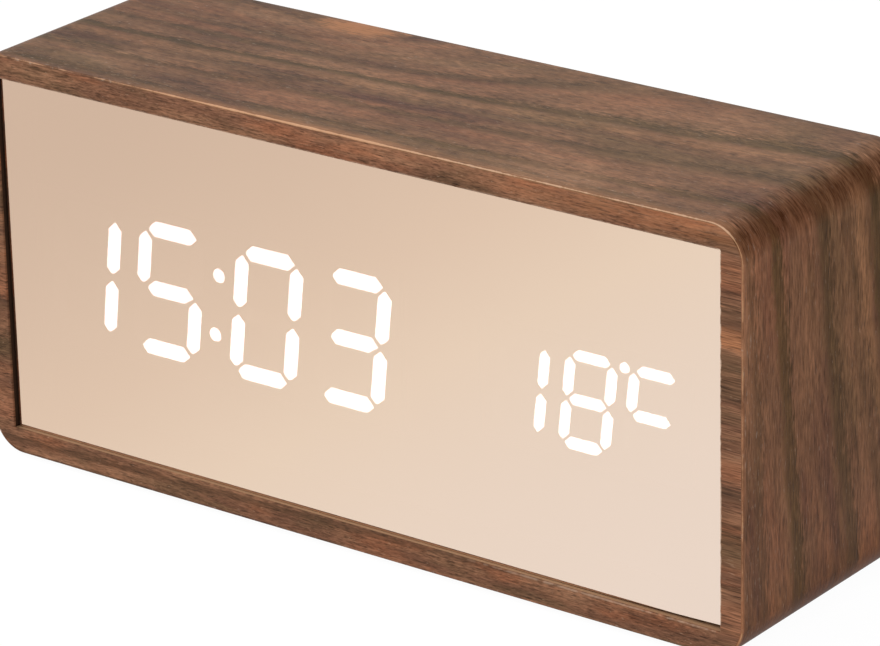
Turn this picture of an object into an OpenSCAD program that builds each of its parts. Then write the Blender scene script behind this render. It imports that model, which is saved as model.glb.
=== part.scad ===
// Digital alarm clock
// A veneered wooden sleeve is closed at the front by a tinted two-way mirror, with white segment
// digits behind it, and at the back by a plastic cover with three buttons, a power socket and a
// battery bay. X runs to the right of the front face, Y to the back and Z up from the table.
// Heights given as z are measured from the middle of the sleeve.

/* [Case] */
// Width of the wooden sleeve
body_w = 150; // [146:1:220]
// Height of the wooden sleeve
body_h = 70; // [68:1:110]
// Depth of the wooden sleeve
body_d = 45; // [43:1:80]
// Radius of the sleeve's long outer edges
corner_r = 6; // [3:0.5:9]
// Thickness of the wooden boards
board_t = 3.8; // [3:0.1:4.5]
// Thickness of the walnut veneer
veneer_t = 0.4; // [0.3:0.1:0.8]

/* [Feet] */
// Height of the rubber feet
foot_h = 1; // [0.5:0.1:4]
// Radius of the rubber feet
foot_r = 4.5; // [3:0.5:7]
// Distance from the sleeve's ends to the middle of a foot
foot_side = 14; // [10:0.5:40]
// Distance from the sleeve's front and back to the middle of a foot
foot_inset = 9; // [8:0.5:14]

/* [Mirror] */
// Depth of the mirror behind the front of the sleeve
mirror_recess = 1; // [0.4:0.1:2]
// Thickness of the mirror panel
mirror_t = 1.2; // [1:0.1:2]
// Gap between the mirror and the sleeve all round
mirror_gap = 0.25; // [0.1:0.05:0.5]
// Thickness of the foam tape behind the mirror
tape_t = 0.3; // [0.2:0.1:0.8]
// Width of the foam tape
tape_w = 4; // [2:0.5:4.5]
// Distance from the mirror's edge to the tape
tape_edge = 1; // [0.5:0.1:1.2]

/* [Time digits] */
// Width of a time digit between the middles of its upright segments
digit_w = 11.05; // [9:0.05:12]
// Height of half a time digit between the middles of its level segments
digit_half = 10.35; // [8:0.05:11]
// Thickness of a time segment
segment_t = 2.9; // [2:0.05:3.2]
// Distance from a segment's tip to the corner where two segments would meet
segment_gap = 0.45; // [0.3:0.05:0.8]
// Distance between neighbouring time digits
digit_pitch = 17.5; // [16.5:0.1:18.5]
// Extra room for the colon
colon_room = 2.5; // [2:0.1:4]
// Radius of the colon's dots
colon_r = 1.2; // [1:0.05:1.6]
// Lean of every digit, in degrees
digit_lean = 6.7; // [0:0.1:10]
// Distance from the left edge of the opening to the first time digit
display_margin = 7.4; // [7:0.1:10]
// Distance that all the digits sit below the middle of the mirror
display_drop = 0.2; // [0:0.1:2]

/* [Temperature digits] */
// Width of a temperature digit between the middles of its upright segments
temp_w = 7.8; // [6:0.05:8.5]
// Height of half a temperature digit between the middles of its level segments
temp_half = 7.3; // [6:0.05:8.5]
// Thickness of a temperature segment
temp_t = 2.1; // [1.6:0.05:2.3]
// Distance between the two temperature digits
temp_pitch = 12.5; // [11.6:0.1:13.5]
// Distance from the second digit to the unit letter
unit_pitch = 11.8; // [11.4:0.1:13]
// Radius of the degree dot
degree_r = 1; // [0.7:0.05:1.2]
// Distance from the right edge of the opening to the unit letter
unit_margin = 8; // [7:0.1:10]
// Distance from the unit letter back to the degree dot
degree_back = 5.8; // [5.6:0.05:6.2]

/* [Display] */
// Depth of the white reflector blocks
reflector_d = 6; // [5:0.1:8]
// Edge of a reflector block outside its digits
reflector_margin = 1.5; // [1:0.1:1.8]
// Depth of the clear resin in each segment window
resin_d = 4.5; // [3:0.1:4.8]
// Thickness of the circuit boards
pcb_t = 1.6; // [1:0.1:2]
// Height of the lamp chips behind the segments
lamp_h = 0.6; // [0.4:0.1:0.8]

/* [Inner frame] */
// Thickness of the frame's front flange
flange_t = 2; // [1.5:0.1:2.5]
// Thickness of the frame's skirt and webs
frame_wall = 1.6; // [1.2:0.1:1.8]
// Depth of the skirt behind the flange
skirt_d = 12; // [8:0.5:14]
// Radius of the corner posts
post_r = 3.5; // [3:0.1:4]
// Distance from the opening's edges to the middle of a corner post
post_inset = 7; // [6.5:0.1:7.2]
// Radius of the bosses under the display board
boss_r = 2.2; // [2:0.1:2.4]
// Distance from the middle to the display board's screws
boss_x = 40; // [30:1:55]

/* [Rear cover] */
// Depth of the cover behind the back of the sleeve
cover_recess = 1; // [0.8:0.1:2]
// Thickness of the cover
cover_t = 3.2; // [3:0.1:4]
// Gap between the cover and the sleeve all round
cover_gap = 0.2; // [0.1:0.05:0.4]
// Length of the cover screws below their heads
cover_screw_l = 11; // [8:0.5:14]

/* [Buttons] */
// Radius of the button caps
button_r = 3.6; // [3:0.1:4]
// Distance between neighbouring buttons
button_pitch = 13; // [11:0.5:13]
// Height of the buttons above the middle
button_z = 14; // [11:0.5:15]
// Height of a cap above the rear cover
button_proud = 0.7; // [0.4:0.1:0.7]
// Travel of a button
button_travel = 0.5; // [0.3:0.1:0.8]

/* [Control board] */
// Distance from the right edge of the cover to the middle of the controls
control_side = 36; // [35:0.2:40]
// Width of the control board
control_w = 46; // [44:0.5:48]
// Height of the control board
control_h = 42; // [40:0.5:44]
// Height of a push switch with its plunger
switch_h = 5; // [4.5:0.1:6]
// Height of the power socket above the middle
usb_z = -15; // [-16:0.5:-12]
// Radius of the buzzer
buzzer_r = 4.5; // [3.5:0.1:5]

/* [Battery bay] */
// Radius of a cell
cell_r = 5.25; // [5:0.05:5.4]
// Length of a cell
cell_l = 44.5; // [43:0.1:45]
// Distance between the middles of neighbouring cells
cell_pitch = 10.9; // [10.85:0.05:11.4]
// Thickness of the bay's walls
bay_wall = 1.4; // [1:0.1:1.6]
// Distance from the left edge of the cover to the bay
bay_side = 14.2; // [14:0.1:18]
// Length of a contact spring with its cell in place
spring_l = 4.2; // [3.8:0.1:5]

/* [Battery door] */
// Thickness of the battery door
door_t = 2; // [1.8:0.1:2.2]
// Overlap of the door over the bay's edge
door_lap = 1.8; // [1.6:0.1:2.4]
// Gap between the door and its seat
door_gap = 0.15; // [0.1:0.05:0.3]
// Radius of the hinge pins
pin_r = 0.65; // [0.5:0.05:0.7]
// Length of a hinge pin
pin_l = 1.6; // [1.2:0.1:2]

/* [Hidden] */
$fn = 48;

walnut = [0.36, 0.24, 0.17];
fibreboard = [0.30, 0.20, 0.13];
rose_mirror = [0.86, 0.75, 0.67, 0.75];
black_plastic = [0.07, 0.07, 0.07];
white_plastic = [0.90, 0.90, 0.88];
lit_resin = [1, 1, 1];
dark_resin = [0.28, 0.28, 0.27];
board_green = [0.10, 0.34, 0.20];
steel = [0.70, 0.71, 0.72];

// Slack taken by every cut so that it runs clear through
cut = 1;
// Gap between pieces that are laid together without touching
loose = 0.1;
// Depth by which the forms of one piece run into each other
bite = 0.5;

// Sleeve, and the stack of layers from the front to the back
wall = board_t + veneer_t;
open_w = body_w - 2 * wall;
open_h = body_h - 2 * wall;
core_w = body_w - 2 * veneer_t;
core_h = body_h - 2 * veneer_t;
core_r = corner_r - veneer_t;
mid_z = foot_h + body_h / 2;
front_y = -body_d / 2;
rear_y = body_d / 2;
mirror_y = front_y + mirror_recess;
mirror_back = mirror_y + mirror_t;
mirror_w = open_w - 2 * mirror_gap;
mirror_h = open_h - 2 * mirror_gap;
flange_y = mirror_back + tape_t;
flange_back = flange_y + flange_t;
reflector_y = mirror_back + loose;
board_y = reflector_y + reflector_d;
board_back = board_y + pcb_t;

// Inner frame
frame_fit = 0.15;
frame_w = open_w - 2 * frame_fit;
frame_h = open_h - 2 * frame_fit;
skirt_back = flange_back + skirt_d;
post_x = open_w / 2 - post_inset;
post_z = open_h / 2 - post_inset;
window_gap = 0.3;

// Digits
lean = tan(digit_lean);
display_z = -display_drop;
resin_fit = 0.05;
time_reach = (digit_w + segment_t) / 2 + lean * (digit_half + segment_t / 2);
temp_reach = (temp_w + temp_t) / 2 + lean * (temp_half + temp_t / 2);
time_first = -open_w / 2 + display_margin + time_reach;
time_last = time_first + 3 * digit_pitch + colon_room;
time_x = (time_first + time_last) / 2;
time_places = [
    time_first, time_first + digit_pitch, time_last - digit_pitch, time_last
];
unit_x = open_w / 2 - unit_margin - temp_reach;
temp_places = [unit_x - unit_pitch - temp_pitch, unit_x - unit_pitch, unit_x];
temp_x = (temp_places[0] + temp_places[2]) / 2;
degree_x = unit_x - degree_back + lean * temp_half;
time_block_w = time_last - time_first + 2 * (time_reach + reflector_margin);
time_block_h = 2 * digit_half + segment_t + 2 * reflector_margin;
temp_block_w = temp_places[2] - temp_places[0] + 2 * (temp_reach + reflector_margin);
temp_block_h = 2 * temp_half + temp_t + 2 * reflector_margin;
all_segments = "abcdefg";
unit_segments = "aefg";
time_fitted = [all_segments, all_segments, all_segments, all_segments];
temp_fitted = [all_segments, all_segments, unit_segments];
// The clock shows 15:03 and 18 degrees C
time_shown = ["bc", "acdfg", "abcdef", "abcdg"];
temp_shown = ["bc", "abcdefg", "afg"];

// Display board and what is soldered to its back
boss_gap = 0.8;
boss_z = time_block_h / 2 + boss_gap + boss_r;
boss_edge = 0.6;
pcb_gap = 0.7;
pcb_w = frame_w - 2 * (frame_wall + pcb_gap);
pcb_h = 2 * (boss_z + boss_r + boss_edge);
post_clearance = 0.4;
lamp_l = 1.6;
lamp_w = 0.8;
chip_h = 7.5;
chip_d = 2.4;
driver_w = 18;
clock_w = 12.8;
chip_z = 6;
lead_pitch = 1.27;
lead_w = 0.45;
lead_l = 1.2;
lead_d = 0.9;
crystal_r = 1;
crystal_l = 6;
crystal_gap = 3;
capacitor_r = 3.15;
capacitor_l = 7;
capacitor_side = 16.35;
capacitor_pitch = 10;
driver_side = 22;
clock_side = 28;
capacitor_x = capacitor_side - pcb_w / 2;
driver_x = capacitor_x + driver_side;
clock_x = driver_x + clock_side;

// Rear cover, controls and battery bay
cover_out = rear_y - cover_recess;
cover_in = cover_out - cover_t;
cover_w = open_w - 2 * cover_gap;
cover_h = open_h - 2 * cover_gap;
pilot_r = 1.05;
pilot_extra = 1;
screw_fit = 0.05;
screw_hole_r = 1.3;
screw_head_r = 2.8;
screw_head_h = 1.5;
sink_gap = 0.3;
sink_r = screw_head_r + sink_gap;
sink_d = screw_head_h + loose;
small_pilot_r = 0.85;
small_head_r = 1.8;
small_head_h = 1.2;
small_screw_l = 4.5;
small_hole_r = 1.05;
control_x = cover_w / 2 - control_side;
button_places = [control_x - button_pitch, control_x, control_x + button_pitch];
button_fit = 0.1;
button_rim = 0.5;
button_flange_r = button_r + 1.2;
button_flange_t = 1;
button_out = cover_out + button_proud;
button_in = cover_in - loose - button_flange_t;
mark_d = 0.25;
mark_l = 3.2;
mark_w = 0.8;
control_back = button_in - switch_h;
control_front = control_back - pcb_t;
switch_w = 6;
switch_top = 1.6;
switch_floor = 1.4;
switch_body = switch_h - switch_top;
plunger_r = 1.65;
plunger_fit = 0.05;
plunger_l = switch_h - switch_floor;
control_boss_r = 2.3;
control_edge = 3.5;
boss_room = 1.2;
control_boss_x = button_pitch + switch_w / 2 + boss_room + control_boss_r;
control_boss_z = control_h / 2 - control_edge;
usb_w = 7.6;
usb_h = 2.9;
usb_wall = 0.3;
usb_chamfer = 0.9;
usb_gap = 0.3;
usb_sink = 0.3;
usb_out = cover_out - usb_sink;
usb_floor = 2;
tongue_w = 3.9;
tongue_h = 0.7;
tongue_sink = 0.8;
buzzer_z = -1;
buzzer_h = 5.2;
buzzer_hole_r = 0.9;
grille_hole_r = 0.7;
grille_ring_r = 3;
sensor_side = 15;
sensor_x = control_x + sensor_side;
sensor_z = -7;
sensor_r = 1.3;
sensor_h = 4.6;
sensor_leg_r = 0.25;
sensor_leg_x = 0.6;
vent_w = 1;
vent_h = 6;
vent_pitch = 2.2;

// Battery bay, door and cells
cell_count = 3;
door_sink = 0.1;
door_out = cover_out - door_sink;
door_in = door_out - door_t;
ledge_y = door_in - loose;
cell_slack = 0.2;
cell_y = door_in - cell_slack - cell_r;
bay_floor = cell_y - cell_r - cell_slack;
bay_back = bay_floor - bay_wall;
plate_t = 0.4;
plate_w = 9;
dimple_h = 0.5;
dimple_r = 1.6;
nub_r = 1.9;
nub_l = 1;
bay_l = cell_l + dimple_h + 2 * plate_t + spring_l;
bay_h = (cell_count - 1) * cell_pitch + 2 * cell_r + 3 * cell_slack;
bay_left = -cover_w / 2 + bay_side;
bay_right = bay_left + bay_l;
bay_x = (bay_left + bay_right) / 2;
cell_places = [cell_pitch, 0, -cell_pitch];
rib_w = 1.2;
rib_h = 2;
tab_w = 2.6;
tab_l = 2.5;
tab_y = bay_back - tab_l;
tab_fit = 0.15;
spring_wire_r = 0.3;
spring_base_r = 3.6;
spring_top_r = 2.4;
spring_turns = 3;
spring_rings = 8;
spring_sides = 6;
door_w = bay_l + 2 * door_lap;
door_h = bay_h + 2 * door_lap;
hinge_y = (door_in + door_out) / 2;
hinge_z = -door_h / 2 + door_t / 2;
pin_fit = 0.05;
pin_end = 0.15;
notch_r = 6;
notch_d = 1.6;
grip_count = 4;
grip_w = 16;
grip_h = 0.8;
grip_proud = 0.4;
grip_pitch = 2;
grip_top = 3;
arrow_w = 5;
arrow_h = 3;
arrow_z = 4;

// Leads and ribbon cable
lead_r = 0.6;
lead_drop = 1.5;
lead_y = tab_y - lead_drop;
pad_side = 11.5;
pad_x = control_x - control_w / 2 + pad_side;
plug_w = 12;
plug_h = 5.8;
plug_d = 6.2;
plug_gap = 0.5;
// The plug stands on the display board, just above the heads of its lower screws
display_plug_z = display_z - boss_z + small_head_r + plug_gap + plug_h / 2;
control_plug_z = 6;
ribbon_w = 10;
ribbon_t = 0.9;
ribbon_bend = 3;

// A rectangle with rounded corners, centred on the origin
module rounded_rect(w, h, r) {
    square([w - 2 * r, h], center = true);
    square([w, h - 2 * r], center = true);
    for (x = [-1, 1], z = [-1, 1])
        translate([x * (w / 2 - r), z * (h / 2 - r)]) circle(r);
}

// A front-view outline carried from one depth to another
module slab(from_y, to_y) {
    translate([0, to_y, mid_z]) rotate([90, 0, 0]) linear_extrude(to_y - from_y) children();
}

// A box with its middle at x and z
module block(x, z, w, h, from_y, to_y) {
    translate([x - w / 2, from_y, mid_z + z - h / 2]) cube([w, to_y - from_y, h]);
}

// A round bar along Y
module bar(x, z, r, from_y, to_y) {
    translate([x, to_y, mid_z + z]) rotate([90, 0, 0]) cylinder(r = r, h = to_y - from_y);
}

// A round bar along X
module axle(x, y, z, r, l) {
    translate([x - l / 2, y, mid_z + z]) rotate([0, 90, 0]) cylinder(r = r, h = l);
}

// A pan-head screw along Y: its shank runs to the front where way is 1, to the back where it is -1
module screw(x, z, seat_y, way, head_r, head_h, shank_r, shank_l) {
    slot_w = head_r / 3;
    slot_l = head_r * 1.2;
    translate([x, seat_y, mid_z + z]) rotate([way * 90, 0, 0]) difference() {
        union() {
            cylinder(r = shank_r, h = shank_l);
            translate([0, 0, -head_h]) cylinder(r = head_r, h = head_h);
        }
        for (w = [[slot_l, slot_w], [slot_w, slot_l]])
            translate([-w[0] / 2, -w[1] / 2, -head_h - cut]) cube([w[0], w[1], cut + head_h / 2]);
    }
}

// A lead along a route of straight runs, round at its corners
module lead(route, r) {
    for (i = [1 : len(route) - 1]) {
        run = route[i] - route[i - 1];
        l = norm(run);
        translate(route[i - 1]) rotate([0, acos(run[2] / l), atan2(run[1], run[0])]) cylinder(r = r, h = l);
    }
    for (i = [1 : len(route) - 2]) translate(route[i]) sphere(r);
}

// Segments are named a to f clockwise from the top, with g in the middle
function level(name) = name == "a" || name == "d" || name == "g";
function segment_x(name, w) =
    name == "b" || name == "c" ? w / 2 : name == "e" || name == "f" ? -w / 2 : 0;
function segment_z(name, half) =
    name == "a" ? half : name == "d" ? -half :
    name == "b" || name == "f" ? half / 2 : name == "c" || name == "e" ? -half / 2 : 0;
function leaning(p) = [p[0] + lean * p[1], p[1]];
function segment_outline(name, w, half, t, gap) =
    let (
        x = segment_x(name, w),
        z = segment_z(name, half),
        tip = (level(name) ? w : half) / 2 - gap,
        shoulder = tip - t / 2,
        outline = [
            [-tip, 0], [-shoulder, -t / 2], [shoulder, -t / 2],
            [tip, 0], [shoulder, t / 2], [-shoulder, t / 2]
        ]
    )
    [for (p = outline) leaning(level(name) ? [x + p[0], z + p[1]] : [x - p[1], z + p[0]])];
function without(names, others) = [for (n = names) if (len(search(n, others)) == 0) n];

// The segments of a row of digits, each widened by grow all round
module digit_row(places, names, w, half, t, grow = 0) {
    for (i = [0 : len(places) - 1], n = names[i])
        translate([places[i], display_z])
            polygon(segment_outline(n, w, half, t + 2 * grow, segment_gap - 1.5 * grow));
}

module colon_dots(grow = 0) {
    for (z = [-1, 1] * digit_half / 2)
        translate([time_x + lean * z, display_z + z]) circle(colon_r + grow);
}

module degree_dot(grow = 0) {
    translate([degree_x, display_z + temp_half]) circle(degree_r + grow);
}

// One lamp chip behind each segment of a row of digits
module lamp_row(places, names, w, half) {
    for (i = [0 : len(places) - 1], n = names[i]) {
        middle = leaning([segment_x(n, w), segment_z(n, half)]);
        lamp(places[i] + middle[0], middle[1], level(n));
    }
}

module lamp(x, z, is_level) {
    w = is_level ? lamp_l : lamp_w;
    h = is_level ? lamp_w : lamp_l;
    block(x, display_z + z, w, h, board_y - lamp_h, board_y);
}

// One of the four mitred boards of the sleeve
module case_board(turn, long, high) {
    reach = 2 * wall;
    color(fibreboard) slab(front_y + veneer_t, rear_y - veneer_t) intersection() {
        rounded_rect(core_w, core_h, core_r);
        rotate(turn) polygon([
            [-long / 2, high / 2], [long / 2, high / 2],
            [long / 2 + reach, high / 2 + reach], [-long / 2 - reach, high / 2 + reach]
        ]);
    }
}

module case_top() { case_board(0, open_w, open_h); }
module case_left() { case_board(90, open_h, open_w); }
module case_bottom() { case_board(180, open_w, open_h); }
module case_right() { case_board(270, open_h, open_w); }

module wrap_veneer() {
    color(walnut) slab(front_y, rear_y) difference() {
        rounded_rect(body_w, body_h, corner_r);
        rounded_rect(core_w, core_h, core_r);
    }
}

module edge_veneer(from_y) {
    color(walnut) slab(from_y, from_y + veneer_t) difference() {
        rounded_rect(core_w, core_h, core_r);
        square([open_w, open_h], center = true);
    }
}

module front_veneer() { edge_veneer(front_y); }
module rear_veneer() { edge_veneer(rear_y - veneer_t); }

module feet() {
    color(black_plastic)
        for (x = [-1, 1] * (body_w / 2 - foot_side), y = [-1, 1] * (body_d / 2 - foot_inset))
            translate([x, y, 0]) cylinder(r = foot_r, h = foot_h);
}

module mirror_panel() {
    color(rose_mirror) slab(mirror_y, mirror_back) square([mirror_w, mirror_h], center = true);
}

module mirror_tape() {
    w = mirror_w - 2 * tape_edge;
    h = mirror_h - 2 * tape_edge;
    color(black_plastic) slab(mirror_back, flange_y) difference() {
        square([w, h], center = true);
        square([w - 2 * tape_w, h - 2 * tape_w], center = true);
    }
}

module inner_frame() {
    color(black_plastic) difference() {
        union() {
            slab(flange_y, flange_back) square([frame_w, frame_h], center = true);
            slab(flange_back - bite, skirt_back) difference() {
                square([frame_w, frame_h], center = true);
                square([frame_w - 2 * frame_wall, frame_h - 2 * frame_wall], center = true);
            }
            for (x = [-1, 1], z = [-1, 1]) {
                web_x = frame_w / 2 - frame_wall - post_x;
                web_z = frame_h / 2 - frame_wall - post_z;
                root = flange_back - bite;
                bar(x * post_x, z * post_z, post_r, root, cover_in);
                block(x * (post_x + web_x / 2), z * post_z, web_x + bite, frame_wall, root, skirt_back);
                block(x * post_x, z * (post_z + web_z / 2), frame_wall, web_z + bite, root, skirt_back);
                bar(x * boss_x, display_z + z * boss_z, boss_r, root, board_y);
            }
        }
        reflector_window(time_x, time_block_w, time_block_h);
        reflector_window(temp_x, temp_block_w, temp_block_h);
        for (x = [-1, 1], z = [-1, 1]) {
            cover_pilot = cover_screw_l - cover_t + sink_d + pilot_extra;
            bar(x * post_x, z * post_z, pilot_r, cover_in - cover_pilot, cover_in + cut);
            bar(x * boss_x, display_z + z * boss_z, small_pilot_r,
                board_back - small_screw_l - loose, board_y + cut);
        }
    }
}

module reflector_window(x, w, h) {
    block(x, display_z, w + 2 * window_gap, h + 2 * window_gap, flange_y - cut, flange_back + cut);
}

module time_reflector() {
    color(white_plastic) slab(reflector_y, board_y) difference() {
        translate([time_x, display_z]) square([time_block_w, time_block_h], center = true);
        digit_row(time_places, time_fitted, digit_w, digit_half, segment_t, resin_fit);
        colon_dots(resin_fit);
    }
}

module temp_reflector() {
    color(white_plastic) slab(reflector_y, board_y) difference() {
        translate([temp_x, display_z]) square([temp_block_w, temp_block_h], center = true);
        digit_row(temp_places, temp_fitted, temp_w, temp_half, temp_t, resin_fit);
        degree_dot(resin_fit);
    }
}

module time_segments_lit() {
    color(lit_resin) slab(reflector_y, reflector_y + resin_d) {
        digit_row(time_places, time_shown, digit_w, digit_half, segment_t);
        colon_dots();
    }
}

module time_segments_dark() {
    names = [for (i = [0 : len(time_shown) - 1]) without(time_fitted[i], time_shown[i])];
    color(dark_resin) slab(reflector_y, reflector_y + resin_d)
        digit_row(time_places, names, digit_w, digit_half, segment_t);
}

module temp_segments_lit() {
    color(lit_resin) slab(reflector_y, reflector_y + resin_d) {
        digit_row(temp_places, temp_shown, temp_w, temp_half, temp_t);
        degree_dot();
    }
}

module temp_segments_dark() {
    names = [for (i = [0 : len(temp_shown) - 1]) without(temp_fitted[i], temp_shown[i])];
    color(dark_resin) slab(reflector_y, reflector_y + resin_d)
        digit_row(temp_places, names, temp_w, temp_half, temp_t);
}

module lamp_chips() {
    color(lit_resin) {
        lamp_row(time_places, time_fitted, digit_w, digit_half);
        lamp_row(temp_places, temp_fitted, temp_w, temp_half);
        for (z = [-1, 1] * digit_half / 2) lamp(time_x + lean * z, z, true);
        lamp(degree_x, temp_half, true);
    }
}

module display_board() {
    color(board_green) difference() {
        block(0, display_z, pcb_w, pcb_h, board_y, board_back);
        for (x = [-1, 1], z = [-1, 1]) {
            bar(x * boss_x, display_z + z * boss_z, small_hole_r, board_y - cut, board_back + cut);
            bar(x * post_x, z * post_z, post_r + post_clearance, board_y - cut, board_back + cut);
        }
    }
}

module display_screws() {
    color(steel)
        for (x = [-1, 1], z = [-1, 1])
            screw(x * boss_x, display_z + z * boss_z, board_back, 1, small_head_r, small_head_h,
                small_pilot_r - screw_fit, small_screw_l);
}

// A flat chip with a row of leads on each long side
module chip(x, z, w) {
    count = floor(w / lead_pitch) - 1;
    color(black_plastic) {
        block(x, z, w, chip_h, board_back + loose, board_back + chip_d);
        for (i = [0 : count - 1], side = [-1, 1])
            block(x + (i - (count - 1) / 2) * lead_pitch, z + side * (chip_h + lead_l) / 2, lead_w,
                lead_l, board_back, board_back + lead_d);
    }
}

module driver_chip() { chip(driver_x, chip_z, driver_w); }
module clock_chip() { chip(clock_x, chip_z, clock_w); }

module clock_crystal() {
    x = clock_x + clock_w / 2 + crystal_gap + crystal_l / 2;
    color(steel) {
        axle(x, board_back + crystal_r, chip_z, crystal_r, crystal_l);
        block(x, chip_z, crystal_l, crystal_r, board_back, board_back + crystal_r);
    }
}

module capacitors() {
    color(black_plastic)
        for (z = [-1, 1] * capacitor_pitch / 2)
            bar(capacitor_x, z, capacitor_r, board_back, board_back + capacitor_l);
}

module display_plug() {
    color(white_plastic)
        block(control_x, display_plug_z, plug_w, plug_h, board_back, board_back + plug_d);
}

module control_plug() {
    color(white_plastic)
        block(control_x, control_plug_z, plug_w, plug_h, control_front - plug_d, control_front);
}

// The ribbon leaves one plug to the back, climbs, and enters the other plug from the front
module ribbon_cable() {
    low_y = board_back + plug_d;
    high_y = control_front - plug_d;
    climb_y = (low_y + high_y) / 2;
    low_z = display_plug_z;
    high_z = control_plug_z;
    reach = ribbon_bend + ribbon_t;
    color(steel) translate([control_x - ribbon_w / 2, 0, mid_z]) rotate([90, 0, 90])
        linear_extrude(ribbon_w) {
            translate([low_y, low_z - ribbon_t / 2])
                square([climb_y - ribbon_bend - low_y, ribbon_t]);
            intersection() {
                translate([climb_y - ribbon_bend, low_z + ribbon_bend]) ribbon_ring();
                translate([climb_y - ribbon_bend, low_z - ribbon_t]) square(reach);
            }
            translate([climb_y - ribbon_t / 2, low_z + ribbon_bend])
                square([ribbon_t, high_z - low_z - 2 * ribbon_bend]);
            intersection() {
                translate([climb_y + ribbon_bend, high_z - ribbon_bend]) ribbon_ring();
                translate([climb_y - ribbon_t, high_z - ribbon_bend]) square(reach);
            }
            translate([climb_y + ribbon_bend, high_z - ribbon_t / 2])
                square([high_y - climb_y - ribbon_bend, ribbon_t]);
        }
}

module ribbon_ring() {
    difference() {
        circle(ribbon_bend + ribbon_t / 2);
        circle(ribbon_bend - ribbon_t / 2);
    }
}

module control_board() {
    color(board_green) difference() {
        block(control_x, 0, control_w, control_h, control_front, control_back);
        control_corners() bar(0, 0, small_hole_r, control_front - cut, control_back + cut);
    }
}

module control_corners() {
    for (x = [-1, 1] * control_boss_x, z = [-1, 1] * control_boss_z)
        translate([control_x + x, 0, z]) children();
}

module control_screws() {
    color(steel) control_corners()
        screw(0, 0, control_front, -1, small_head_r, small_head_h, small_pilot_r - screw_fit, small_screw_l);
}

module push_switches() {
    color(black_plastic)
        for (x = button_places) difference() {
            block(x, button_z, switch_w, switch_w, control_back, control_back + switch_body);
            bar(x, button_z, plunger_r + plunger_fit, button_in - plunger_l - 2 * button_travel,
                control_back + switch_body + cut);
        }
}

// Cross-section of the power socket, widened by grow all round
module usb_outline(grow) {
    w = usb_w / 2 + grow;
    h = usb_h / 2 + grow;
    polygon([
        [-w, h], [-w, usb_chamfer - h], [usb_chamfer - w, -h],
        [w - usb_chamfer, -h], [w, usb_chamfer - h], [w, h]
    ]);
}

module usb_shell() {
    color(steel) translate([control_x, 0, usb_z]) difference() {
        slab(control_back, usb_out) usb_outline(0);
        slab(control_back + usb_floor, usb_out + cut) usb_outline(-usb_wall);
    }
}

module usb_tongue() {
    color(black_plastic)
        block(control_x, usb_z, tongue_w, tongue_h, control_back + usb_floor, usb_out - tongue_sink);
}

module buzzer() {
    top = control_back + buzzer_h;
    color(black_plastic) difference() {
        bar(control_x, buzzer_z, buzzer_r, control_back, top);
        bar(control_x, buzzer_z, buzzer_hole_r, top - cut, top + cut);
    }
}

module temp_sensor() {
    color(black_plastic) {
        for (x = [-1, 1] * sensor_leg_x)
            bar(sensor_x + x, sensor_z, sensor_leg_r, control_back, control_back + sensor_h);
        translate([sensor_x, control_back + sensor_h, mid_z + sensor_z]) sphere(sensor_r);
    }
}

module rear_cover() {
    color(black_plastic) difference() {
        union() {
            slab(cover_in, cover_out) square([cover_w, cover_h], center = true);
            block(bay_x, 0, bay_l + 2 * bay_wall, bay_h + 2 * bay_wall, bay_back, cover_in + bite);
            control_corners() bar(0, 0, control_boss_r, control_back, cover_in + bite);
        }
        bay_hollow();
        block(bay_x, 0, door_w + 2 * door_gap, door_h + 2 * door_gap, ledge_y, cover_out + cut);
        axle(bay_x, hinge_y, hinge_z, pin_r + pin_fit, door_w + 2 * (pin_l + pin_end));
        bar(bay_x, door_h / 2, notch_r, cover_out - notch_d, cover_out + cut);
        terminal_tab(bay_right - plate_t, cell_places[0], tab_fit);
        terminal_tab(bay_left, cell_places[2], tab_fit);
        for (x = [-1, 1] * post_x, z = [-1, 1] * post_z) {
            bar(x, z, screw_hole_r, cover_in - cut, cover_out + cut);
            bar(x, z, sink_r, cover_out - sink_d, cover_out + cut);
        }
        control_corners()
            bar(0, 0, small_pilot_r, control_back - cut, control_front + small_screw_l + loose);
        for (x = button_places) bar(x, button_z, button_r + button_fit, cover_in - cut, cover_out + cut);
        translate([control_x, 0, usb_z]) slab(cover_in - cut, cover_out + cut) usb_outline(usb_gap);
        bar(control_x, buzzer_z, grille_hole_r, cover_in - cut, cover_out + cut);
        for (a = [0 : 60 : 300])
            bar(control_x + grille_ring_r * cos(a), buzzer_z + grille_ring_r * sin(a), grille_hole_r,
                cover_in - cut, cover_out + cut);
        for (i = [-1, 0, 1])
            block(sensor_x + i * vent_pitch, sensor_z, vent_w, vent_h, cover_in - cut, cover_out + cut);
    }
}

// The space inside the bay, with a low rib left standing between the cells
module bay_hollow() {
    difference() {
        block(bay_x, 0, bay_l, bay_h, bay_floor, cover_out + cut);
        for (z = [-1, 1] * cell_pitch / 2)
            block(bay_x, z, bay_l - 2 * plate_w, rib_w, bay_floor - cut, bay_floor + rib_h);
    }
}

module rear_screws() {
    color(steel)
        for (x = [-1, 1] * post_x, z = [-1, 1] * post_z)
            screw(x, z, cover_out - sink_d, 1, screw_head_r, screw_head_h, pilot_r - screw_fit,
                cover_screw_l);
}

// The solder tab of a contact plate, which passes through the floor of the bay
module terminal_tab(x, z, grow) {
    translate([x - grow, tab_y - cut * grow, mid_z + z - tab_w / 2 - grow])
        cube([plate_t + 2 * grow, bay_floor - tab_y + 2 * cut * grow, tab_w + 2 * grow]);
}

// A contact plate against one end of the bay, from one cell to another
module contact_plate(x, from_z, to_z) {
    block(x + plate_t / 2, (from_z + to_z) / 2, plate_t, abs(to_z - from_z) + plate_w, bay_floor,
        bay_floor + plate_w);
}

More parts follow.
